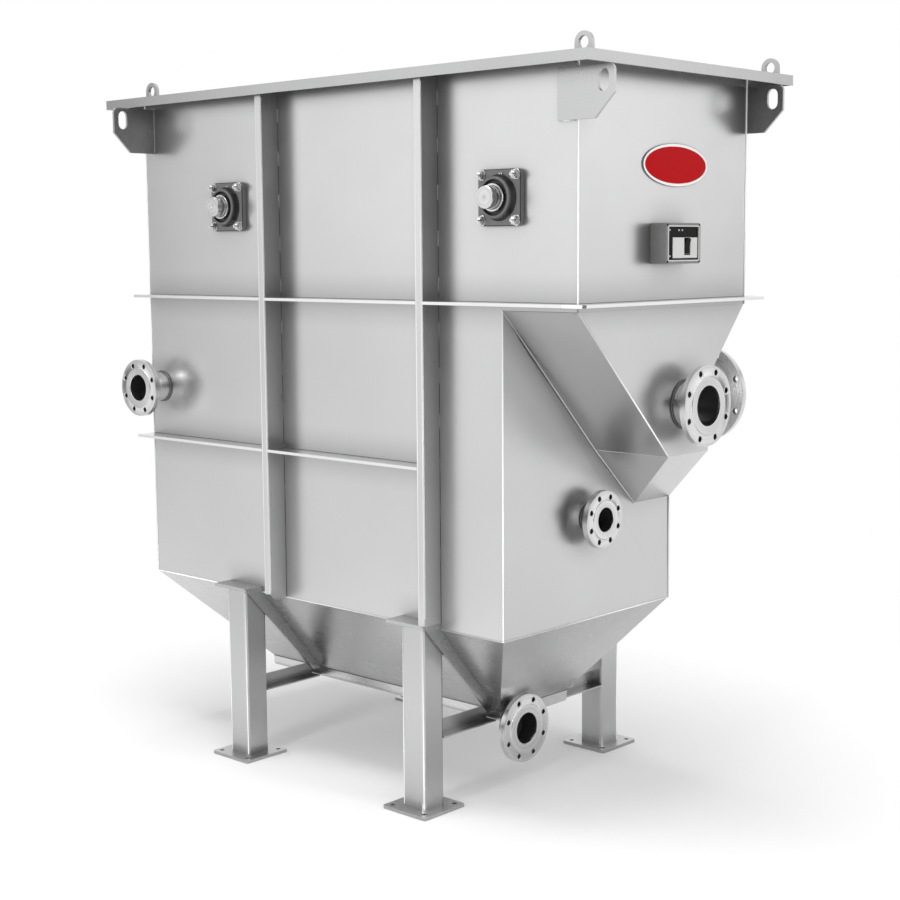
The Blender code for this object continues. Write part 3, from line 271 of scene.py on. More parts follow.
def cast_paint(name, colour):
    """Painted casting: coarse skin and rubbed edges."""
    made, tree, shader = start_material(name)
    skin = noise(tree, (1, 1, 1), 420.0, 4.0)
    dents = noise(tree, (1, 1, 1), 60.0, 3.0)
    worn = add(tree, "ShaderNodeNewGeometry").outputs["Pointiness"]
    rub = add(tree, "ShaderNodeMapRange", Value=worn)
    rub.inputs["From Min"].default_value = 0.51
    rub.inputs["From Max"].default_value = 0.56
    paint = shade(tree, colour, spread(tree, dents, 0.8, 1.25))
    mixed = tree.nodes.new("ShaderNodeMix")
    mixed.data_type = "RGBA"
    tree.links.new(math_node(tree, "MULTIPLY", rub.outputs["Result"], 0.35), mixed.inputs["Factor"])
    tree.links.new(paint, mixed.inputs["A"])
    mixed.inputs["B"].default_value = (0.42, 0.42, 0.43, 1)
    tree.links.new(mixed.outputs["Result"], shader.inputs["Base Color"])
    tree.links.new(spread(tree, dents, 0.34, 0.5), shader.inputs["Roughness"])
    relief = add(tree, "ShaderNodeBump", Height=skin, Strength=0.35, Distance=0.0006)
    tree.links.new(relief.outputs[0], shader.inputs["Normal"])
    shader.inputs["Specular IOR Level"].default_value = 0.45
    return made


STEEL = (0.625, 0.627, 0.63)
sheet = brushed("sheet_steel", STEEL, 0.31, (620, 620, 9))
slope_sheet = brushed("slope_steel", STEEL, 0.28, (9, 620, 620))
bar = brushed("bar_steel", (0.84, 0.84, 0.842), 0.25, (500, 500, 500))
# Painted light: a lighter copy of the sheet for the facet below the float hopper's fold
painted_fold_light = brushed("painted_fold_light", (0.78, 0.78, 0.782), 0.30, (620, 620, 9))
channel_steel = brushed("channel_steel", (0.64, 0.642, 0.645), 0.29, (620, 620, 9))
plate_steel = brushed("plate_steel", (0.50, 0.502, 0.505), 0.27, (500, 500, 500))
tube = brushed("tube_steel", (0.52, 0.522, 0.525), 0.29, (640, 640, 10))
rim_steel = brushed("rim_steel", (0.47, 0.472, 0.475), 0.27, (480, 480, 480))
turned_steel = turned_metal("turned_steel", (0.70, 0.70, 0.70), 0.25)
shaft_steel = turned_metal("shaft_steel", (0.60, 0.60, 0.60), 0.24)
# Painted shade: near-black paint lining bores and bolt holes and filling joints, where shade falls
dark_shade_paint = painted("bore_shade", (0.022, 0.022, 0.023), 0.40)
chain_steel = brushed("chain_steel", (0.45, 0.452, 0.46), 0.34, (300, 300, 300))
flight_steel = brushed("flight_steel", STEEL, 0.34, (9, 600, 600))
nut_steel = brushed("nut_steel", (0.66, 0.66, 0.66), 0.2, (700, 700, 700))
weld_steel = brushed("weld_steel", (0.24, 0.237, 0.233), 0.46, (600, 600, 600), cloud=0.2)
# Painted highlight: near-white metal for thin tubes along edges, standing in for the light that rounded edges
# catch
painted_highlight_steel = brushed("painted_highlight_steel", (0.96, 0.96, 0.96), 0.45, (400, 400, 400))
painted_highlight_steel.node_tree.nodes["Principled BSDF"].inputs["Metallic"].default_value = 0.7
cast = cast_paint("cast_iron", (0.009, 0.0093, 0.010))
motor_paint = painted("motor_paint", (0.20, 0.21, 0.23), 0.4)
box_plastic = painted("box_plastic", (0.20, 0.20, 0.197), 0.36)
pale_plastic = painted("pale_plastic", (0.62, 0.62, 0.61), 0.34)
black_gloss = painted("black_gloss", (0.008, 0.008, 0.009), 0.20, bump=0.03)
rocker_black = painted("rocker_black", (0.010, 0.010, 0.011), 0.35)
enamel_red = painted("badge_enamel", (0.48, 0.001, 0.004), 0.30, bump=0.02, cloud=0.03)
enamel_white = painted("enamel_white", (0.93, 0.93, 0.93), 0.30, bump=0.02, cloud=0.02)
for enamel in (enamel_red, black_gloss, rocker_black):
    enamel.node_tree.nodes["Principled BSDF"].inputs["Specular IOR Level"].default_value = 0.06


# Meshes
def link(name, bm, finish, body, angle=35, place=None):
    """Make a piece from a mesh, with smooth faces and sharp folds, riding on a body."""
    bmesh.ops.recalc_face_normals(bm, faces=bm.faces)
    mesh = bpy.data.meshes.new(name)
    bm.to_mesh(mesh)
    bm.free()
    mesh.shade_smooth()
    mesh.set_sharp_from_angle(angle=math.radians(angle))
    made = bpy.data.objects.new(name, mesh)
    bpy.context.collection.objects.link(made)
    made.data.materials.append(finish)
    if place is not None:
        made.matrix_world = place
    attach(made, body)
    return made


def rings(bm, profile, sides, closed=False):
    """Revolve a (radius, height) profile about Z."""
    made = []
    for radius, height in profile:
        if radius == 0:
            made.append([bm.verts.new((0, 0, height))] * sides)
            continue
        turn = 2 * math.pi / sides
        made.append([bm.verts.new((radius * math.cos(k * turn), radius * math.sin(k * turn), height))
                     for k in range(sides)])
    pairs = list(zip(made, made[1:]))
    if closed:
        pairs.append((made[-1], made[0]))
    for first, second in pairs:
        for k in range(sides):
            corners = list(dict.fromkeys([first[k - 1], first[k], second[k], second[k - 1]]))
            if len(corners) > 2:
                bm.faces.new(corners)


def moved_rings(bm, profile, sides, shift):
    """Rings about an axis of their own, parallel to Z."""
    before = set(bm.verts)
    rings(bm, profile, sides)
    fresh = [vert for vert in bm.verts if vert not in before]
    bmesh.ops.translate(bm, verts=fresh, vec=shift)


def facing(axis, origin):
    turn = Vector((0, 0, 1)).rotation_difference(Vector(axis))
    return Matrix.Translation(origin) @ turn.to_matrix().to_4x4()


def rounded(corners, radius, steps=8):
    """Outline with each corner rounded to the same radius."""
    outline = []
    for i, corner in enumerate(corners):
        here = Vector(corner)
        before = (Vector(corners[i - 1]) - here).normalized()
        after = (Vector(corners[(i + 1) % len(corners)]) - here).normalized()
        half = before.angle(after) / 2
        centre = here + (before + after).normalized() * radius / math.sin(half)
        first = here + before * radius / math.tan(half) - centre
        sweep = first.angle_signed(here + after * radius / math.tan(half) - centre)
        for k in range(steps + 1):
            arm = Matrix.Rotation(-sweep * k / steps, 2) @ first
            outline.append((centre.x + arm.x, centre.y + arm.y))
    return outline


def slab(bm, outline, low, high, chamfer=0.0, holes=()):
    """Flat piece across Z with a chamfered upper edge; holes go through it."""
    loops = []
    for loop in (outline, *holes):
        loops.append([bm.verts.new((a, b, low)) for a, b in loop])
    edges = [bm.edges.new((loop[i - 1], loop[i])) for loop in loops for i in range(len(loop))]
    filled = bmesh.ops.triangle_fill(bm, use_beauty=True, edges=edges)
    faces = [item for item in filled["geom"] if isinstance(item, bmesh.types.BMFace)]
    grown = bmesh.ops.extrude_face_region(bm, geom=faces, use_keep_orig=True)
    top = [item for item in grown["geom"] if isinstance(item, bmesh.types.BMVert)]
    bmesh.ops.translate(bm, verts=top, vec=(0, 0, high - low))
    if chamfer:
        lids = [item for item in grown["geom"] if isinstance(item, bmesh.types.BMFace)]
        rim = [edge for edge in {edge for face in lids for edge in face.edges}
               if sum(face in lids for face in edge.link_faces) == 1]
        bmesh.ops.bevel(bm, geom=rim, offset=chamfer, segments=2, affect="EDGES")


def cut(piece, tool_bm, place):
    """Boolean a helper mesh out of a piece and keep the result as the piece's mesh."""
    bmesh.ops.recalc_face_normals(tool_bm, faces=tool_bm.faces)
    mesh = bpy.data.meshes.new("cutter")
    tool_bm.to_mesh(mesh)
    tool_bm.free()
    tool = bpy.data.objects.new("cutter", mesh)
    bpy.context.collection.objects.link(tool)
    tool.matrix_world = place
    step = piece.modifiers.new("holes", "BOOLEAN")
    step.operation = "DIFFERENCE"
    step.solver = "EXACT"
    step.object = tool
    bpy.context.view_layer.update()
    done = bpy.data.meshes.new_from_object(piece.evaluated_get(bpy.context.evaluated_depsgraph_get()))
    piece.modifiers.clear()
    piece.data = done
    done.shade_smooth()
    done.set_sharp_from_angle(angle=math.radians(32))
    bpy.data.objects.remove(tool)


# Welds and painted highlight and shade lines
class BeadsAndPaintedLines:
    """Collects rippled weld beads, or plain tubes for painted highlight and painted shade lines, and makes
    one piece of them.
    """

    def __init__(self):
        self.verts = []
        self.faces = []

    def run(self, points, radius=BEAD, closed=False, ripple=0.13):
        points = [Vector(point) for point in points]
        if closed:
            points.append(points[0])
        path, travel = [], 0.0
        for first, second in zip(points, points[1:]):
            length = (second - first).length
            steps = max(1, round(length / BEAD_STEP)) if ripple else 1
            for k in range(steps):
                path.append((first.lerp(second, k / steps), travel + length * k / steps, second - first))
            travel += length
        if not closed:
            path.append((points[-1], travel, points[-1] - points[-2]))
        start = len(self.verts)
        sides = 6
        for place, along, way in path:
            way = way.normalized()
            across = way.cross(Vector((0.31, 0.52, 0.79))).normalized()
            other = way.cross(across)
            size = radius * (1 + ripple * math.sin(2 * math.pi * along / BEAD_RIPPLE))
            for k in range(sides):
                angle = 2 * math.pi * k / sides
                self.verts.append(place + (across * math.cos(angle) + other * math.sin(angle)) * size)
        count = len(path)
        for i in range(count if closed else count - 1):
            low = start + i * sides
            high = start + (i + 1) % count * sides
            for k in range(sides):
                after = (k + 1) % sides
                self.faces.append((low + k, low + after, high + after, high + k))
        if not closed:
            last = start + (count - 1) * sides
            self.faces.append(tuple(start + k for k in range(sides)))
            self.faces.append(tuple(last + k for k in reversed(range(sides))))

    def stitches(self, start, end, radius=BEAD):
        start, end = Vector(start), Vector(end)
        length = (end - start).length
        count = max(1, int((length - STITCH) / STITCH_PITCH) + 1)
        spare = (length - STITCH - (count - 1) * STITCH_PITCH) / 2
        way = (end - start).normalized()
        for k in range(count):
            first = start + way * (spare + k * STITCH_PITCH)
            self.run([first, first + way * STITCH], radius)

    def ring(self, centre, axis, radius, bead=BEAD):
        place = facing(axis, centre)
        sides = 72
        self.run([place @ Vector((radius * math.cos(2 * math.pi * k / sides),
                                  radius * math.sin(2 * math.pi * k / sides), 0)) for k in range(sides)],
                 bead, closed=True)

    def finish(self, name, metal, body="frame"):
        mesh = bpy.data.meshes.new(name)
        mesh.from_pydata([tuple(vert) for vert in self.verts], [], self.faces)
        mesh.shade_smooth()
        made = bpy.data.objects.new(name, mesh)
        bpy.context.collection.objects.link(made)
        made.data.materials.append(metal)
        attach(made, body)
        return made


# Finishes of the CAD pieces that stay
def finish_cad():
    finishes = {
        "tank_shell": sheet, "sludge_hopper": slope_sheet, "sludge_trough": slope_sheet,
        "float_hopper": sheet, "beach": sheet, "inlet_baffle": sheet, "top_rim": rim_steel,
        "gear_motor": motor_paint, "control_box": box_plastic, "switch_rocker": rocker_black}
    starts = {"stiffener": channel_steel, "leg_": tube, "slope_rib": plate_steel, "cross_beam": tube,
              "upper_rib": bar, "lower_rib": bar, "lifting_eye": plate_steel, "bracket": plate_steel}
    for name, piece in nodes.items():
        finish = finishes.get(name)
        for start, match in starts.items():
            if name.startswith(start):
                finish = match
        if finish is None:
            continue
        piece.data.materials.clear()
        piece.data.materials.append(finish)
        fold = piece.modifiers.new("edges", "BEVEL")
        thin = name.startswith(("stiffener", "leg_", "cross_beam", "switch"))
        fold.width = CHANNEL_ROUND if thin else EDGE_ROUND
        fold.segments = 3
        fold.limit_method = "ANGLE"
        fold.angle_limit = math.radians(30)
        fold.harden_normals = True


# Nozzles
def nozzle_frame(name):
    """Where a nozzle's axis starts on its wall, its direction, radius and length."""
    low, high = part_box(name)
    axis = Vector(NOZZLES[name][0])
    middle = (low + high) / 2
    size = high - low
    length = abs(size.dot(axis))
    radius = (sum(size) - length) / 4
    return middle - axis * length / 2, axis, radius, length


def make_nozzle(name):
    axis, pipe, bore, raised, circle, hole = NOZZLES[name]
    origin, axis, flange, length = nozzle_frame(name)
    pipe, bore, raised = pipe / 2, bore / 2, raised / 2
    face = length - FLANGE_RAISE
    rear = face - FLANGE_THICK
    c = FLANGE_CHAMFER
    start = -WALL if name != "rear_nozzle" else 0.05
    bm = bmesh.new()
    profile = [
        (bore, start), (bore, length - c), (bore + c, length),
        (raised - c, length), (raised, length - c), (raised + c / 3, face + c / 3), (raised + c, face),
        (flange - c, face), (flange, face - c), (flange, rear + c), (flange - c, rear),
        (pipe + FLANGE_HUB / 2 + c, rear), (pipe + FLANGE_HUB / 2, rear - c),
        (pipe + c / 2, rear - FLANGE_HUB + c), (pipe, rear - FLANGE_HUB), (pipe, max(start, 0.0))]
    rings(bm, profile, LATHE_SIDES, closed=True)
    place = facing(axis, origin)
    piece = link(name + "_turned", bm, turned_steel, "frame", 32, place)
    drills = bmesh.new()
    for k in range(FLANGE_BOLTS):
        angle = (k + 0.5) * 2 * math.pi / FLANGE_BOLTS
        radius = hole / 2
        shift = (circle / 2 * math.cos(angle), circle / 2 * math.sin(angle), 0)
        moved_rings(drills, [(0, rear - c), (radius + c, rear - c), (radius + c, rear), (radius, rear + c),
                             (radius, face - c), (radius + c, face), (radius + c, face + c),
                             (0, face + c)], 28, shift)
    cut(piece, drills, piece.matrix_world)
    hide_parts(name)
    # Painted shade: dark linings in the bore and the bolt holes, and a dark blind below the trough
    bore_shade_lining = bmesh.new()
    rings(bore_shade_lining, [(bore - 0.0004, start), (bore - 0.0004, length - 6 * c)], LATHE_SIDES)
    for k in range(FLANGE_BOLTS):
        angle = (k + 0.5) * 2 * math.pi / FLANGE_BOLTS
        shift = (circle / 2 * math.cos(angle), circle / 2 * math.sin(angle), 0)
        moved_rings(bore_shade_lining, [(hole / 2 - 0.0003, rear + 2 * c), (hole / 2 - 0.0003, face - 2 * c)], 28, shift)
    if name == "sludge_nozzle":
        close_below(bore_shade_lining, bore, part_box("sludge_trough")[0].z + WALL - origin.z)
    link(name + "_painted_bore_shade", bore_shade_lining, dark_shade_paint, "frame", 32, place)
    return piece


def close_below(bm, radius, level):
    """Blind the part of a bore's back end that lies below the trough's floor."""
    start = math.asin(level / radius)
    steps = 40
    sweep = math.pi + 2 * start
    points = []
    for k in range(steps + 1):
        angle = start - sweep * k / steps
        points.append(bm.verts.new((-radius * math.sin(angle), radius * math.cos(angle), WALL + 0.0005)))
    bm.faces.new(points)


# Bearings
def make_bearing(name):
    low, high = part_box(name)
    side = 1 if low.y > 0 else -1
    centre = (low + high) / 2
    half = (high.x - low.x) / 2
    wall = low.y if side > 0 else high.y
    place = facing((0, side, 0), (centre.x, wall, centre.z))
    body = bmesh.new()
    corners = [(-half, -half), (half, -half), (half, half), (-half, half)]
    slab(body, rounded(corners, BEARING_CORNER), 0.0, BEARING_PLATE, 0.003)
    rings(body, [(0.074, BEARING_PLATE - 0.001), (0.0715, BEARING_PLATE + 0.002), (0.068, 0.026),
                 (0.066, 0.041), (0.0645, 0.0445), (0.062, 0.046), (0.0575, 0.046), (0.056, 0.0445),
                 (0.0545, 0.034),
                 (0.043, 0.0335), (0.043, 0.020)], 64)
    piece = link(name + "_casting", body, cast, "frame", 38, place)
    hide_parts(name)
    ring = bmesh.new()
    rings(ring, [(0.0445, 0.020), (0.0445, 0.050), (0.0435, 0.0515), (0.0385, 0.0515), (0.0372, 0.0505),
                 (0.0372, 0.020)], 64)
    link(name + "_inner_ring", ring, shaft_steel, "frame", 35, place)
    for a in (-BOLT_REACH, BOLT_REACH):
        for b in (-BOLT_REACH, BOLT_REACH):
            spot = place @ Matrix.Translation((a, b, BEARING_PLATE))
            tag = f"{name}_{'l' if a < 0 else 'r'}{'b' if b < 0 else 't'}"
            make_fastener(tag, spot)
    nipple = bmesh.new()
    rings(nipple, [(0.0, 0.0), (0.005, 0.0), (0.005, 0.005), (0.003, 0.006), (0.003, 0.009),
                   (0.0036, 0.011), (0.0025, 0.0135), (0, 0.0142)], 20)
    spot = place @ Matrix.Translation((0.012, 0.073, BEARING_PLATE - 0.001))
    if (place @ Vector((0, 1, 0)) - place @ Vector()).z < 0:
        spot = place @ Matrix.Translation((0.012, -0.073, BEARING_PLATE - 0.001))
    link(name + "_nipple", nipple, nut_steel, "frame", 35, spot)


def make_fastener(tag, place):
    """Stud with washer and hexagon nut, standing on a face."""
    bm = bmesh.new()
    rings(bm, [(0.009, 0.0), (0.0172, 0.0), (0.0172, 0.0022), (0.0166, 0.0028), (0.009, 0.0028)], 32)
    nut = [(0.0150 * math.cos(math.pi / 3 * k), 0.0150 * math.sin(math.pi / 3 * k)) for k in range(6)]
    slab(bm, nut, 0.0028, 0.0150, 0.0016)
    profile = [(0.0079, 0.010)]
    height = 0.0155
    while height < 0.0235:
        profile += [(0.0079, height), (0.0072, height + 0.0008)]
        height += 0.0016
    profile += [(0.0078, 0.0240), (0.0064, 0.0252), (0.0022, 0.0252), (0, 0.0240)]
    rings(bm, profile, 24)
    return link(tag + "_nut", bm, nut_steel, "frame", 40, place)


# Shafts, sprockets and chain
def sprocket_outline():
    """Round seats for the rollers and rounded tips, one seat at the top."""
    outline = []
    turn = 2 * math.pi / TEETH
    for k in range(TEETH):
        seat = math.pi / 2 + k * turn
        pin = Vector((PITCH_RADIUS * math.cos(seat), PITCH_RADIUS * math.sin(seat)))
        for swing in range(-70, 71, 14):
            inward = seat + math.pi - math.radians(swing)
            arm = Vector((math.cos(inward), math.sin(inward)))
            outline.append(tuple(pin + arm * (ROLLER_RADIUS + 0.0004)))
        for share in (0.34, 0.42, 0.5, 0.58, 0.66):
            tip = PITCH_RADIUS + TOOTH_TIP - abs(share - 0.5) * 0.05
            angle = seat + turn * share
            outline.append((tip * math.cos(angle), tip * math.sin(angle)))
    return outline


def make_shaft(name, body):
    low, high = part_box(name)
    x = (low.x + high.x) / 2
    z = (low.z + high.z) / 2
    length = high.y - low.y
    place = facing((0, 1, 0), (x, low.y, z))
    r = SHAFT_RADIUS
    near = [(0, 0.006), (0.0025, 0.003), (0.0045, 0.0), (r - 0.006, 0.0), (r - 0.0055, 0.0),
            (r - 0.002, 0.0), (r, 0.002)]
    groove = [(r, 0.016), (r - 0.0015, 0.0165), (r - 0.0015, 0.019), (r, 0.0195)]
    if name == "drive_shaft":
        shoulder = 0.460 + 0.048 - low.y
        far = [(r, shoulder), (JOURNAL_RADIUS, shoulder), (JOURNAL_RADIUS, length - 0.002),
               (JOURNAL_RADIUS - 0.002, length), (0, length)]
    else:
        far = [(r, length - 0.0195), (r - 0.0015, length - 0.019), (r - 0.0015, length - 0.0165),
               (r, length - 0.016), (r, length - 0.002), (r - 0.002, length), (0, length)]
    bm = bmesh.new()
    rings(bm, near + groove + far, 72)
    shaft = link(name + "_turned", bm, shaft_steel, body, 35, place)
    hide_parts(name)
    for centre, tag in ((-CHAIN_Y, "near"), (CHAIN_Y, "far")):
        wheel = bmesh.new()
        hole = [(r * math.cos(2 * math.pi * k / 48), r * math.sin(2 * math.pi * k / 48)) for k in range(48)]
        slab(wheel, sprocket_outline(), -TOOTH_WIDTH / 2, TOOTH_WIDTH / 2, 0.0012, [hole])
        rings(wheel, [(r, -0.045), (0.058, -0.045), (0.060, -0.043),
                      (0.060, 0.043), (0.058, 0.045), (r, 0.045)], 48)
        turn = facing((0, 1, 0), (x, centre, z)) @ Matrix.Rotation(0, 4, "Z")
        made = link(f"{name}_sprocket_{tag}", wheel, chain_steel, body, 35, turn)
        fix_top(made, x, z)


def fix_top(piece, x, z):
    """Turn a sprocket about its shaft so that one seat stands straight up."""
    up = piece.matrix_world.to_3x3() @ Vector((0, 1, 0))
    if up.z < 0.5:
        angle = math.atan2(up.x, up.z)
        piece.matrix_world = (Matrix.Translation((x, 0, z)) @ Matrix.Rotation(-angle, 4, "Y")
                              @ Matrix.Translation((-x, 0, -z)) @ piece.matrix_world)


def chain_path():
    """Pin centres round both sprockets in the XZ plane."""
    low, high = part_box("idler_shaft")
    left = (low.x + high.x) / 2
    z = (low.z + high.z) / 2
    low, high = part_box("drive_shaft")
    right = (low.x + high.x) / 2
    run = round((right - left) / CHAIN_PITCH)
    turn = 2 * math.pi / TEETH
    pins = [Vector((right - k * CHAIN_PITCH, z + PITCH_RADIUS)) for k in range(run + 1)]
    for k in range(1, TEETH // 2):
        way = Vector((math.cos(math.pi / 2 + k * turn), math.sin(math.pi / 2 + k * turn)))
        pins.append(Vector((left, z)) + PITCH_RADIUS * way)
    pins += [Vector((left + k * CHAIN_PITCH, z - PITCH_RADIUS)) for k in range(run + 1)]
    for k in range(1, TEETH // 2):
        way = Vector((math.cos(-math.pi / 2 + k * turn), math.sin(-math.pi / 2 + k * turn)))
        pins.append(Vector((right, z)) + PITCH_RADIUS * way)
    return pins, run, left, z


def link_outline(length):
    """Plate with two round eyes and a narrower waist between them."""
    outline = []
    for centre, start in ((length, -0.5), (0.0, 0.5)):
        for k in range(9):
            angle = math.pi * (start + k / 8)
            outline.append((centre + LINK_EYE * math.cos(angle), LINK_EYE * math.sin(angle)))
        sign = 1 if centre else -1
        for share in (0.72, 0.5, 0.28):
            along = length * (share if centre else 1 - share)
            width = LINK_WAIST + (LINK_EYE - LINK_WAIST) * (2 * share - 1) ** 2
            outline.append((along, sign * width))
    return outline


def xz_place(point, way, y):
    """Matrix whose X runs along a direction in the XZ plane and whose Z runs along Y."""
    along = Vector((way.x, 0, way.y)).normalized()
    across = Vector((0, 1, 0))
    third = across.cross(along)
    turn = Matrix((along, third, across)).transposed().to_4x4()
    return Matrix.Translation((point.x, y, point.y)) @ turn


def make_chain():
    pins, run, left, z = chain_path()
    inner = TOOTH_WIDTH / 2 + 0.003
    bm = bmesh.new()
    for chain in (-CHAIN_Y, CHAIN_Y):
        for i, pin in enumerate(pins):
            after = pins[(i + 1) % len(pins)]
            layer = inner if i % 2 else inner + LINK_THICK + 0.0002
            for side in (-1, 1):
                before = set(bm.verts)
                low, high = sorted((side * layer, side * (layer + LINK_THICK)))
                slab(bm, link_outline((after - pin).length), low, high)
                fresh = [vert for vert in bm.verts if vert not in before]
                bmesh.ops.transform(bm, matrix=xz_place(pin, after - pin, chain), verts=fresh)
            before = set(bm.verts)
            reach = inner + 2 * LINK_THICK + 0.002
            rings(bm, [(0, -reach - 0.001), (PIN_RADIUS - 0.001, -reach - 0.001), (PIN_RADIUS, -reach),
                       (PIN_RADIUS, -inner), (ROLLER_RADIUS, -inner + 0.0003),
                       (ROLLER_RADIUS, inner - 0.0003),
                       (PIN_RADIUS, inner), (PIN_RADIUS, reach), (PIN_RADIUS - 0.001, reach + 0.001),
                       (0, reach + 0.001)], 20)
            fresh = [vert for vert in bm.verts if vert not in before]
            bmesh.ops.transform(bm, matrix=xz_place(pin, after - pin, chain), verts=fresh)
    chain = link("skimmer_chain_links", bm, chain_steel, "frame", 35)
    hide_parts("skimmer_chain")
    flights = bmesh.new()
    for k in range(3, run - 2, FLIGHT_PITCH):
        middle = left + (k + 0.5) * CHAIN_PITCH
        for sign in (-1, 1):
            base = z + sign * (PITCH_RADIUS + LINK_WAIST + 0.0005)
            half = FLIGHT_THICK / 2
            section = [(-FLIGHT_FOOT / 2, 0), (FLIGHT_FOOT / 2, 0), (FLIGHT_FOOT / 2, 0.006),
                       (half + 0.003, 0.006),
                       (half, 0.009), (half, FLIGHT_HEIGHT - 0.006), (half - 0.002, FLIGHT_HEIGHT - 0.004),
                       (-half + 0.002, FLIGHT_HEIGHT - 0.004), (-half, FLIGHT_HEIGHT - 0.006),
                       (-half, 0.009),
                       (-half - 0.003, 0.006), (-FLIGHT_FOOT / 2, 0.006)]
            outline = [(middle + a, base + sign * b) for a, b in section]
            before = set(flights.verts)
            slab(flights, [(a, -b) for a, b in outline], -FLIGHT_REACH, FLIGHT_REACH)
            fresh = [vert for vert in flights.verts if vert not in before]
            turn = Matrix(((1, 0, 0), (0, 0, 1), (0, -1, 0))).to_4x4()
            bmesh.ops.transform(flights, matrix=turn, verts=fresh)
            for chain_y in (-CHAIN_Y, CHAIN_Y):
                for a in (-0.018, 0.018):
                    before = set(flights.verts)
                    rings(flights, [(0.007, 0.0), (0.007, 0.0045), (0.0055, 0.006), (0, 0.006)], 6)
                    fresh = [vert for vert in flights.verts if vert not in before]
                    spot = facing((0, 0, sign), (middle + a, chain_y, base + sign * 0.006))
                    bmesh.ops.transform(flights, matrix=spot, verts=fresh)
    link("skimmer_flights", flights, flight_steel, "frame", 35)


# Control box and badge
def make_box_front():
    low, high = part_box("control_box")
    front = high.x
    y0, y1 = low.y + BOX_EDGE, high.y - BOX_EDGE
    z0, z1 = low.z + BOX_EDGE, high.z - BOX_EDGE
    place = Matrix(((0, 0, 1, front - BOX_RECESS), (1, 0, 0, 0), (0, 1, 0, 0), (0, 0, 0, 1)))
    rocker_low, rocker_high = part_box("switch_rocker")
    gap = 0.0025
    well = [(rocker_low.y - gap, rocker_low.z - gap), (rocker_high.y + gap, rocker_low.z - gap),
            (rocker_high.y + gap, rocker_high.z + gap), (rocker_low.y - gap, rocker_high.z + gap)]
    window = bmesh.new()
    slab(window, [(y0 + 0.0004, z0 + 0.0004), (y1 - 0.0004, z0 + 0.0004), (y1 - 0.0004, z1 - 0.0004),
                  (y0 + 0.0004, z1 - 0.0004)], 0.0001, 0.0012, 0.0, [well])
    link("control_window", window, black_gloss, "frame", 35, place)
    plate = bmesh.new()
    outline = rounded([(y0 + 0.026, z0 + 0.006), (y1 - 0.003, z0 + 0.006), (y1 - 0.003, z1 - 0.034),
                       (y0 + 0.026, z1 - 0.034)], 0.002, 4)
    swing = 0.0055
    slot = [(rocker_low.y - gap, rocker_low.z - swing), (rocker_high.y + gap, rocker_low.z - swing),
            (rocker_high.y + gap, rocker_high.z + swing), (rocker_low.y - gap, rocker_high.z + swing)]
    slab(plate, outline, 0.0012, 0.0026, 0.0005, [slot])
    link("control_plate", plate, pale_plastic, "frame", 35, place)
    lip = bmesh.new()
    outer = rounded([(y0 - 0.004, z0 - 0.004), (y1 + 0.004, z0 - 0.004), (y1 + 0.004, z1 + 0.004),
                     (y0 - 0.004, z1 + 0.004)], 0.005, 5)
    inner = rounded([(y0, z0), (y1, z0), (y1, z1), (y0, z1)], 0.002, 5)
    slab(lip, outer, BOX_RECESS - 0.0002, BOX_RECESS + 0.0022, 0.0006, [inner])
    link("control_lip", lip, pale_plastic, "frame", 35, place)
    screws = bmesh.new()
    for y in (low.y + 0.0065, high.y - 0.0065):
        for z in (low.z + 0.0065, high.z - 0.0065):
            moved_rings(screws, [(0.0038, 0.0), (0.0038, 0.0008), (0.0030, 0.0014), (0.0012, 0.0014),
                                 (0.0012, 0.0004), (0, 0.0004)], 24, (y, z, BOX_RECESS))
    link("control_screws", screws, rocker_black, "frame", 35, place)
    lamps = bmesh.new()
    for y, z in ((y0 + 0.010, z1 - 0.010), (y0 + 0.060, z1 - 0.011), (y0 + 0.078, z1 - 0.011),
                 (y0 + 0.011, z0 + 0.012)):
        moved_rings(lamps, [(0.0032, 0.0), (0.0032, 0.0010), (0.0022, 0.0019), (0, 0.0022)], 20,
                    (y, z, 0.0012))
    link("control_lenses", lamps, pale_plastic, "frame", 50, place)


def make_badge():
    low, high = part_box("badge")
    middle = (low + high) / 2
    a, b = (high.y - low.y) / 2, (high.z - low.z) / 2
    thick = high.x - low.x
    sides = 128

    def oval(bm, inset, out):
        turns = [2 * math.pi * k / sides for k in range(sides)]
        return [bm.verts.new((low.x + out, middle.y + (a - inset) * math.cos(turn),
                              middle.z + (b - inset) * math.sin(turn))) for turn in turns]

    def strip(bm, levels, lid=False):
        loops = [oval(bm, inset, out) for inset, out in levels]
        for first, second in zip(loops, loops[1:]):
            for k in range(sides):
                bm.faces.new([first[k - 1], first[k], second[k], second[k - 1]])
        if lid:
            bm.faces.new(loops[-1])

    edge = bmesh.new()
    strip(edge, [(0, 0), (0, thick - 0.0012), (0.0012, thick - 0.0002)])
    piece = link("badge_edge", edge, motor_paint, "frame", 35)
    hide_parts("badge")
    ring = bmesh.new()
    strip(ring, [(0.0010, thick - 0.0004), (0.0020, thick), (BADGE_RING - 0.0010, thick),
                 (BADGE_RING, thick - 0.0014)])
    link("badge_ring", ring, enamel_white, "frame", 35)
    field = bmesh.new()
    levels = [(BADGE_RING - 0.0004, thick - 0.0015)]
    for k in range(1, 6):
        inset = BADGE_RING + (b - BADGE_RING - 0.002) * k / 8
        levels.append((inset, thick - 0.0012 + 0.0012 * math.sin(math.pi / 2 * k / 8)))
    strip(field, levels, lid=True)
    link("badge_field", field, enamel_red, "frame", 35)
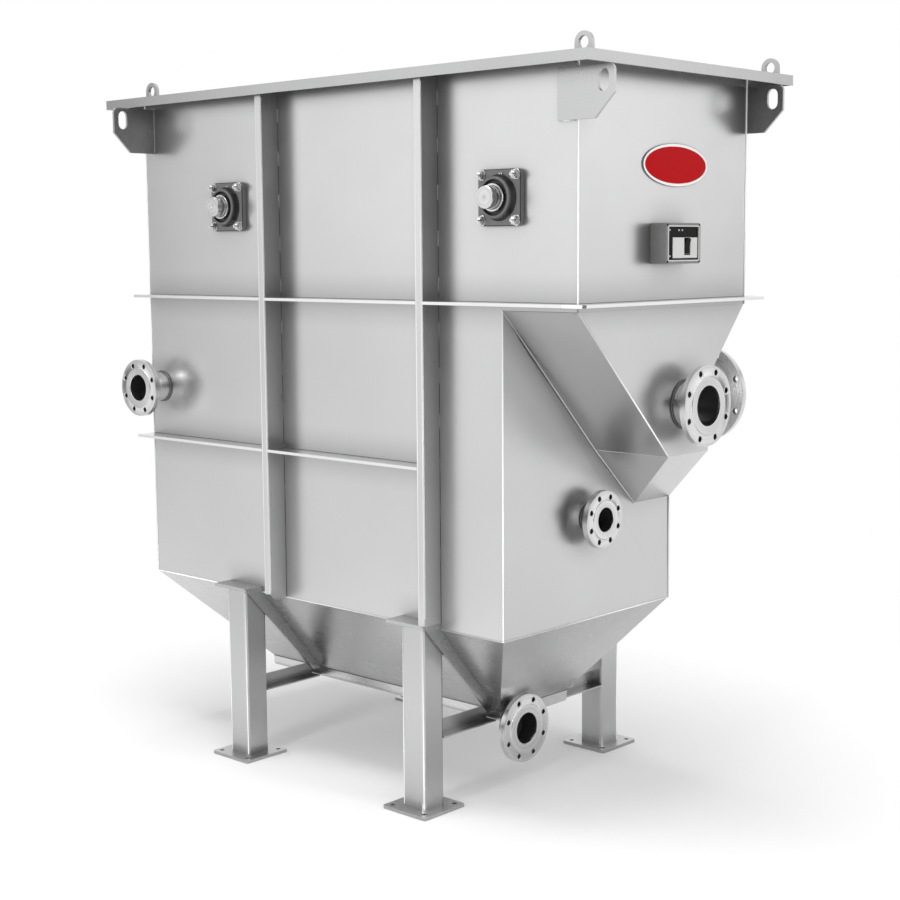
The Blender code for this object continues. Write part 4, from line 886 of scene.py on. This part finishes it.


# Welds on the tank, painted highlight lines, painted shade lines and the float hopper's skins
def make_welds():
    tank_low, tank_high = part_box("tank_shell")
    step_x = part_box("sludge_hopper")[1].x
    trough_low, trough_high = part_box("sludge_trough")
    step_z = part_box("float_hopper")[1].z
    beads = BeadsAndPaintedLines()
    # Painted highlight lines: near-white tubes along corners, feet and folds
    highlight_lines = BeadsAndPaintedLines()
    # Painted shade: dark lines in the joints where the stiffeners meet the wall
    gap_shade_lines = BeadsAndPaintedLines()
    edge = tank_low.z
    for side in (-1, 1):
        y = side * tank_high.y
        highlight_lines.run([(tank_low.x, y, edge), (step_x, y, edge)], HIGHLIGHT_LINE * 0.8, ripple=0)
        for name in ("left", "right"):
            low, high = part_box(f"stiffener_{'near' if side < 0 else 'far'}_{name}")
            outer = low.y if side < 0 else high.y
            for x, inset in ((low.x, 1), (high.x, -1)):
                beads.stitches((x, y, low.z + 0.03), (x, y, high.z - 0.03), BEAD * 0.9)
                gap_shade_lines.run([(x, y, low.z + 0.002), (x, y, high.z - 0.008)], GAP_SHADE, ripple=0)
                edge_x = x + inset * EDGE_HIGHLIGHT
                edge_y = outer - side * EDGE_HIGHLIGHT
                highlight_lines.run([(edge_x, edge_y, low.z + 0.026), (edge_x, edge_y, high.z - 0.036)],
                          EDGE_HIGHLIGHT * 1.2, ripple=0)
        # Painted highlight lines on the legs' rounded corners
        for name in ("left", "right"):
            low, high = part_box(f"leg_{'near' if side < 0 else 'far'}_{name}")
            middle = (low + high) / 2
            reach = LEG_HALF - LEG_ARC * (1 - math.sqrt(0.5)) - 0.001
            for way in (-1, 1):
                x = middle.x + way * reach
                leg_y = middle.y + side * reach
                highlight_lines.run([(x, leg_y, FOOT_TOP), (x, leg_y, LEG_TOP)], EDGE_HIGHLIGHT, ripple=0)
        for level in ("upper", "lower"):
            for name in ("left", "middle", "right"):
                node = f"{level}_rib_{'near' if side < 0 else 'far'}_{name}"
                if node not in nodes:
                    continue
                low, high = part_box(node)
                beads.run([(low.x, y, low.z), (high.x, y, low.z)], BEAD * 0.6)
                beads.run([(low.x, y, high.z), (high.x, y, high.z)], BEAD * 0.6)
    for x in (tank_low.x, step_x):
        highlight_lines.run([(x, -tank_high.y, edge), (x, tank_high.y, edge)], HIGHLIGHT_LINE * 0.8, ripple=0)
    low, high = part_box("upper_rib_end")
    for z in (low.z, high.z):
        beads.run([(tank_high.x, -tank_high.y, z), (tank_high.x, tank_high.y, z)], BEAD * 0.6)
    for y in (trough_low.y, trough_high.y):
        beads.run([(trough_low.x, y, trough_high.z), (trough_high.x, y, trough_high.z)], BEAD * 0.7)
    for x in (trough_low.x, trough_high.x):
        beads.run([(x, trough_low.y, trough_high.z), (x, trough_high.y, trough_high.z)], BEAD * 0.7)
    for name, values in NOZZLES.items():
        if name == "rear_nozzle":
            continue
        origin, axis, _, length = nozzle_frame(name)
        beads.ring(origin + axis * 0.002, axis, values[1] / 2 + 0.0015, BEAD * 1.5)
        neck = length - FLANGE_RAISE - FLANGE_THICK - FLANGE_HUB
        if neck > NECK_SHORTEST:
            beads.ring(origin + axis * neck, axis, values[1] / 2, BEAD * 0.8)
    for side, label in ((-1, "near"), (1, "far")):
        y = side * tank_high.y
        low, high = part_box(f"bracket_{label}_left")
        for x in (low.x, high.x):
            beads.run([(x, y, low.z), (x, y, high.z)], BEAD * 0.9)
        low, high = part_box(f"bracket_{label}_right")
        highlight_lines.run([(low.x, y, low.z), (low.x, y, high.z)], EDGE_HIGHLIGHT, ripple=0)
        highlight_lines.run([(low.x, y, low.z), (tank_high.x, y, low.z)], EDGE_HIGHLIGHT, ripple=0)
    beads.finish("weld_beads", weld_steel)
    gap_shade_lines.finish("painted_junction_shade", dark_shade_paint)
    knee = float_corner(step_z, *FLOAT_KNEE)
    toe = float_corner(step_z, *FLOAT_TOE)
    corner = (step_x, -tank_high.y, step_z)
    highlight_lines.run([corner, (step_x, *knee), (step_x, *toe)], HIGHLIGHT_LINE * 1.1, ripple=0)
    make_fold(corner, (tank_high.x, -tank_high.y, step_z), knee, toe)
    highlight_lines.run([(tank_high.x, -tank_high.y, step_z), (tank_high.x, *knee)], HIGHLIGHT_LINE * 0.8, ripple=0)
    highlight_lines.run([(step_x, *knee), (tank_high.x, *knee)], HIGHLIGHT_LINE * 0.5, ripple=0)
    for side in (-1, 1):
        y = side * tank_high.y
        highlight_lines.run([(tank_high.x, y, step_z), (tank_high.x, y, tank_high.z)], HIGHLIGHT_LINE, ripple=0)
        highlight_lines.run([(step_x, y, edge), (step_x, y, step_z)], HIGHLIGHT_LINE, ripple=0)
        highlight_lines.run([(tank_low.x, y, edge), (tank_low.x, y, tank_high.z)], HIGHLIGHT_LINE, ripple=0)
    highlight_lines.finish("painted_edge_highlights", painted_highlight_steel)


def float_corner(top, y, drop):
    return y, top - drop


def make_rib_end_highlights():
    """Bright faces on the rib ends that meet at the overhang's two corners: painted highlight over their
    darker end faces.
    """
    low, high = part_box("upper_rib_end")
    bm = bmesh.new()
    for label, side in (("near", -1), ("far", 1)):
        rib_low, rib_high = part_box(f"upper_rib_{label}_right")
        x = rib_high.x + SKIN_GAP
        y = (low.y if side < 0 else high.y) + side * SKIN_GAP
        outer = rib_low.y if side < 0 else rib_high.y
        for first, second in (((x, y), (x, outer)), ((x, y), (high.x, y))):
            bm.faces.new([bm.verts.new((*first, low.z)), bm.verts.new((*second, low.z)),
                          bm.verts.new((*second, high.z)), bm.verts.new((*first, high.z))])
    link("rib_end_painted_highlights", bm, painted_highlight_steel, "frame", 20)


def make_fold(corner, end_corner, knee, toe):
    """Skins just outside the float hopper's near slope; the one below its cross fold is painted lighter, as
    painted light for a facet that catches more light.
    """
    out = Vector((0, -SKIN_GAP, -SKIN_GAP))
    step_x, end_x = corner[0], end_corner[0]
    inner_knee = Vector((step_x, *knee))
    outer_knee = Vector((end_x, *knee))
    for name, finish, points in (
            ("float_slope_skin", sheet, (Vector(corner), Vector(end_corner), outer_knee, inner_knee)),
            ("float_fold_painted_light", painted_fold_light, (inner_knee, outer_knee, Vector((step_x, *toe))))):
        bm = bmesh.new()
        bm.faces.new([bm.verts.new(point + out) for point in points])
        link(name, bm, finish, "frame", 20)


# Studio
def make_floor():
    mesh = bpy.data.meshes.new("floor")
    half = STUDIO_SIZE / 2
    corners = [(-half, -half, 0), (half, -half, 0), (half, half, 0), (-half, half, 0)]
    mesh.from_pydata(corners, [], [(0, 1, 2, 3)])
    floor = bpy.data.objects.new("floor", mesh)
    bpy.context.collection.objects.link(floor)
    made = bpy.data.materials.new("studio_floor")
    made.use_nodes = True
    tree = made.node_tree
    tree.nodes.remove(tree.nodes["Principled BSDF"])
    matt = add(tree, "ShaderNodeBsdfDiffuse", Color=(FLOOR_COLOUR, FLOOR_COLOUR, FLOOR_COLOUR, 1))
    rays = tree.nodes.new("ShaderNodeLightPath")
    seen = math_node(tree, "MAXIMUM", rays.outputs["Is Camera Ray"], rays.outputs["Is Glossy Ray"])
    part = math_node(tree, "MULTIPLY", seen, FLOOR_GLOW)
    glow = add(tree, "ShaderNodeEmission", Color=(1, 1, 1, 1), Strength=part)
    both = tree.nodes.new("ShaderNodeAddShader")
    tree.links.new(matt.outputs[0], both.inputs[0])
    tree.links.new(glow.outputs[0], both.inputs[1])
    reach = tree.nodes.new("ShaderNodeVectorMath")
    reach.operation = "LENGTH"
    tree.links.new(add(tree, "ShaderNodeTexCoord").outputs["Object"], reach.inputs[0])
    fade = tree.nodes.new("ShaderNodeMapRange")
    fade.interpolation_type = "SMOOTHSTEP"
    tree.links.new(reach.outputs["Value"], fade.inputs["Value"])
    fade.inputs["From Min"].default_value = GLOW_STARTS
    fade.inputs["From Max"].default_value = GLOW_FULL
    far = add(tree, "ShaderNodeEmission", Color=(1, 1, 1, 1), Strength=1.0)
    mixed = tree.nodes.new("ShaderNodeMixShader")
    tree.links.new(math_node(tree, "MULTIPLY", seen, fade.outputs["Result"]), mixed.inputs[0])
    tree.links.new(both.outputs[0], mixed.inputs[1])
    tree.links.new(far.outputs[0], mixed.inputs[2])
    tree.links.new(mixed.outputs[0], tree.nodes["Material Output"].inputs["Surface"])
    mesh.materials.append(made)


def make_flag(name, place, target, size, level):
    """Dark card that the metal mirrors, out of the camera's sight."""
    bm = bmesh.new()
    a, b = size[0] / 2, size[1] / 2
    bm.faces.new([bm.verts.new(corner) for corner in ((-a, -b, 0), (a, -b, 0), (a, b, 0), (-a, b, 0))])
    mesh = bpy.data.meshes.new(name)
    bm.to_mesh(mesh)
    bm.free()
    card = bpy.data.objects.new(name, mesh)
    bpy.context.collection.objects.link(card)
    made = bpy.data.materials.new(name)
    made.use_nodes = True
    shader = made.node_tree.nodes["Principled BSDF"]
    shader.inputs["Base Color"].default_value = (level, level, level, 1)
    shader.inputs["Roughness"].default_value = 1.0
    shader.inputs["Specular IOR Level"].default_value = 0.0
    mesh.materials.append(made)
    card.location = place
    card.rotation_mode = "QUATERNION"
    card.rotation_quaternion = (Vector(target) - Vector(place)).to_track_quat("Z", "Y")
    card.visible_camera = False
    card.visible_diffuse = False
    card.visible_shadow = False


def make_world():
    world = bpy.data.worlds.new("studio")
    bpy.context.scene.world = world
    world.use_nodes = True
    tree = world.node_tree
    back = tree.nodes["Background"]
    back.inputs["Color"].default_value = (1, 1, 1, 1)
    rays = tree.nodes.new("ShaderNodeLightPath")
    seen = math_node(tree, "MAXIMUM", rays.outputs["Is Camera Ray"], rays.outputs["Is Transmission Ray"])
    seen = math_node(tree, "MAXIMUM", seen, rays.outputs["Is Glossy Ray"])
    level = add(tree, "ShaderNodeMapRange", Value=seen)
    level.inputs["To Min"].default_value = WORLD_LEVEL
    level.inputs["To Max"].default_value = 1.0
    tree.links.new(level.outputs["Result"], back.inputs["Strength"])


def make_lamp(name, place, target, size, power):
    lamp = bpy.data.lights.new(name, "AREA")
    lamp.shape = "RECTANGLE"
    lamp.size, lamp.size_y = size
    lamp.energy = power
    made = bpy.data.objects.new(name, lamp)
    bpy.context.collection.objects.link(made)
    made.location = place
    made.rotation_mode = "QUATERNION"
    made.rotation_quaternion = (Vector(target) - Vector(place)).to_track_quat("-Z", "Y")
    return made


def make_lights():
    make_lamp("front_strip", (0.6, -6.0, 2.4), (0.2, 0, 1.6), (0.8, 4.2), 95)
    make_lamp("end_strip", (6.6, 0.4, 2.4), (1.0, 0, 1.6), (0.8, 4.2), 75)
    make_lamp("front_panel", (-4.6, -6.6, 3.4), (0.2, 0, 1.8), (4.6, 3.4), 14)
    make_lamp("end_panel", (5.6, 5.4, 3.6), (1.0, -0.3, 1.8), (3.0, 3.4), 12)
    make_lamp("top", (0, -0.6, 7.0), (0, 0, 1.0), (4.0, 4.0), 330)
    make_flag("flag_camera", (6.6, -7.2, 2.0), (0, 0, 1.4), FLAG_SIZE, 0.10)
    make_flag("flag_left", (-9.4, -2.4, 2.0), (0, 0, 1.4), FLAG_SIZE, 0.22)
    make_flag("flag_back", (2.4, 9.0, 2.0), (0.6, 0, 1.4), (5.0, 7.0), 0.22)
    make_flag("floor_cloth", (1.85, 0.55, 0.002), (1.85, 0.55, 2.0), (2.4, 2.2), 0.72)


def make_camera():
    ahead = Vector((-math.cos(CAMERA_HEADING) * math.cos(CAMERA_PITCH),
                    math.sin(CAMERA_HEADING) * math.cos(CAMERA_PITCH), math.sin(CAMERA_PITCH)))
    right = Vector((math.sin(CAMERA_HEADING), math.cos(CAMERA_HEADING), 0))
    up = right.cross(ahead)
    rolled_right = right * math.cos(CAMERA_ROLL) + up * math.sin(CAMERA_ROLL)
    rolled_up = up * math.cos(CAMERA_ROLL) - right * math.sin(CAMERA_ROLL)
    data = bpy.data.cameras.new("camera")
    data.sensor_width = 36.0
    data.lens = CAMERA_LENS
    camera = bpy.data.objects.new("camera", data)
    bpy.context.collection.objects.link(camera)
    turn = Matrix((rolled_right, rolled_up, -ahead)).transposed().to_4x4()
    camera.matrix_world = Matrix.Translation(CAMERA_PLACE) @ turn
    bpy.context.scene.camera = camera


make_camera()
finish_cad()
for nozzle in NOZZLES:
    make_nozzle(nozzle)
for bearing in ("bearing_near_left", "bearing_near_right", "bearing_far_left", "bearing_far_right"):
    make_bearing(bearing)
make_shaft("idler_shaft", "idler")
make_shaft("drive_shaft", "drive")
make_chain()
make_box_front()
make_badge()
make_welds()
make_rib_end_highlights()
make_floor()
make_world()
make_lights()
bpy.context.scene.view_settings.view_transform = "Standard"
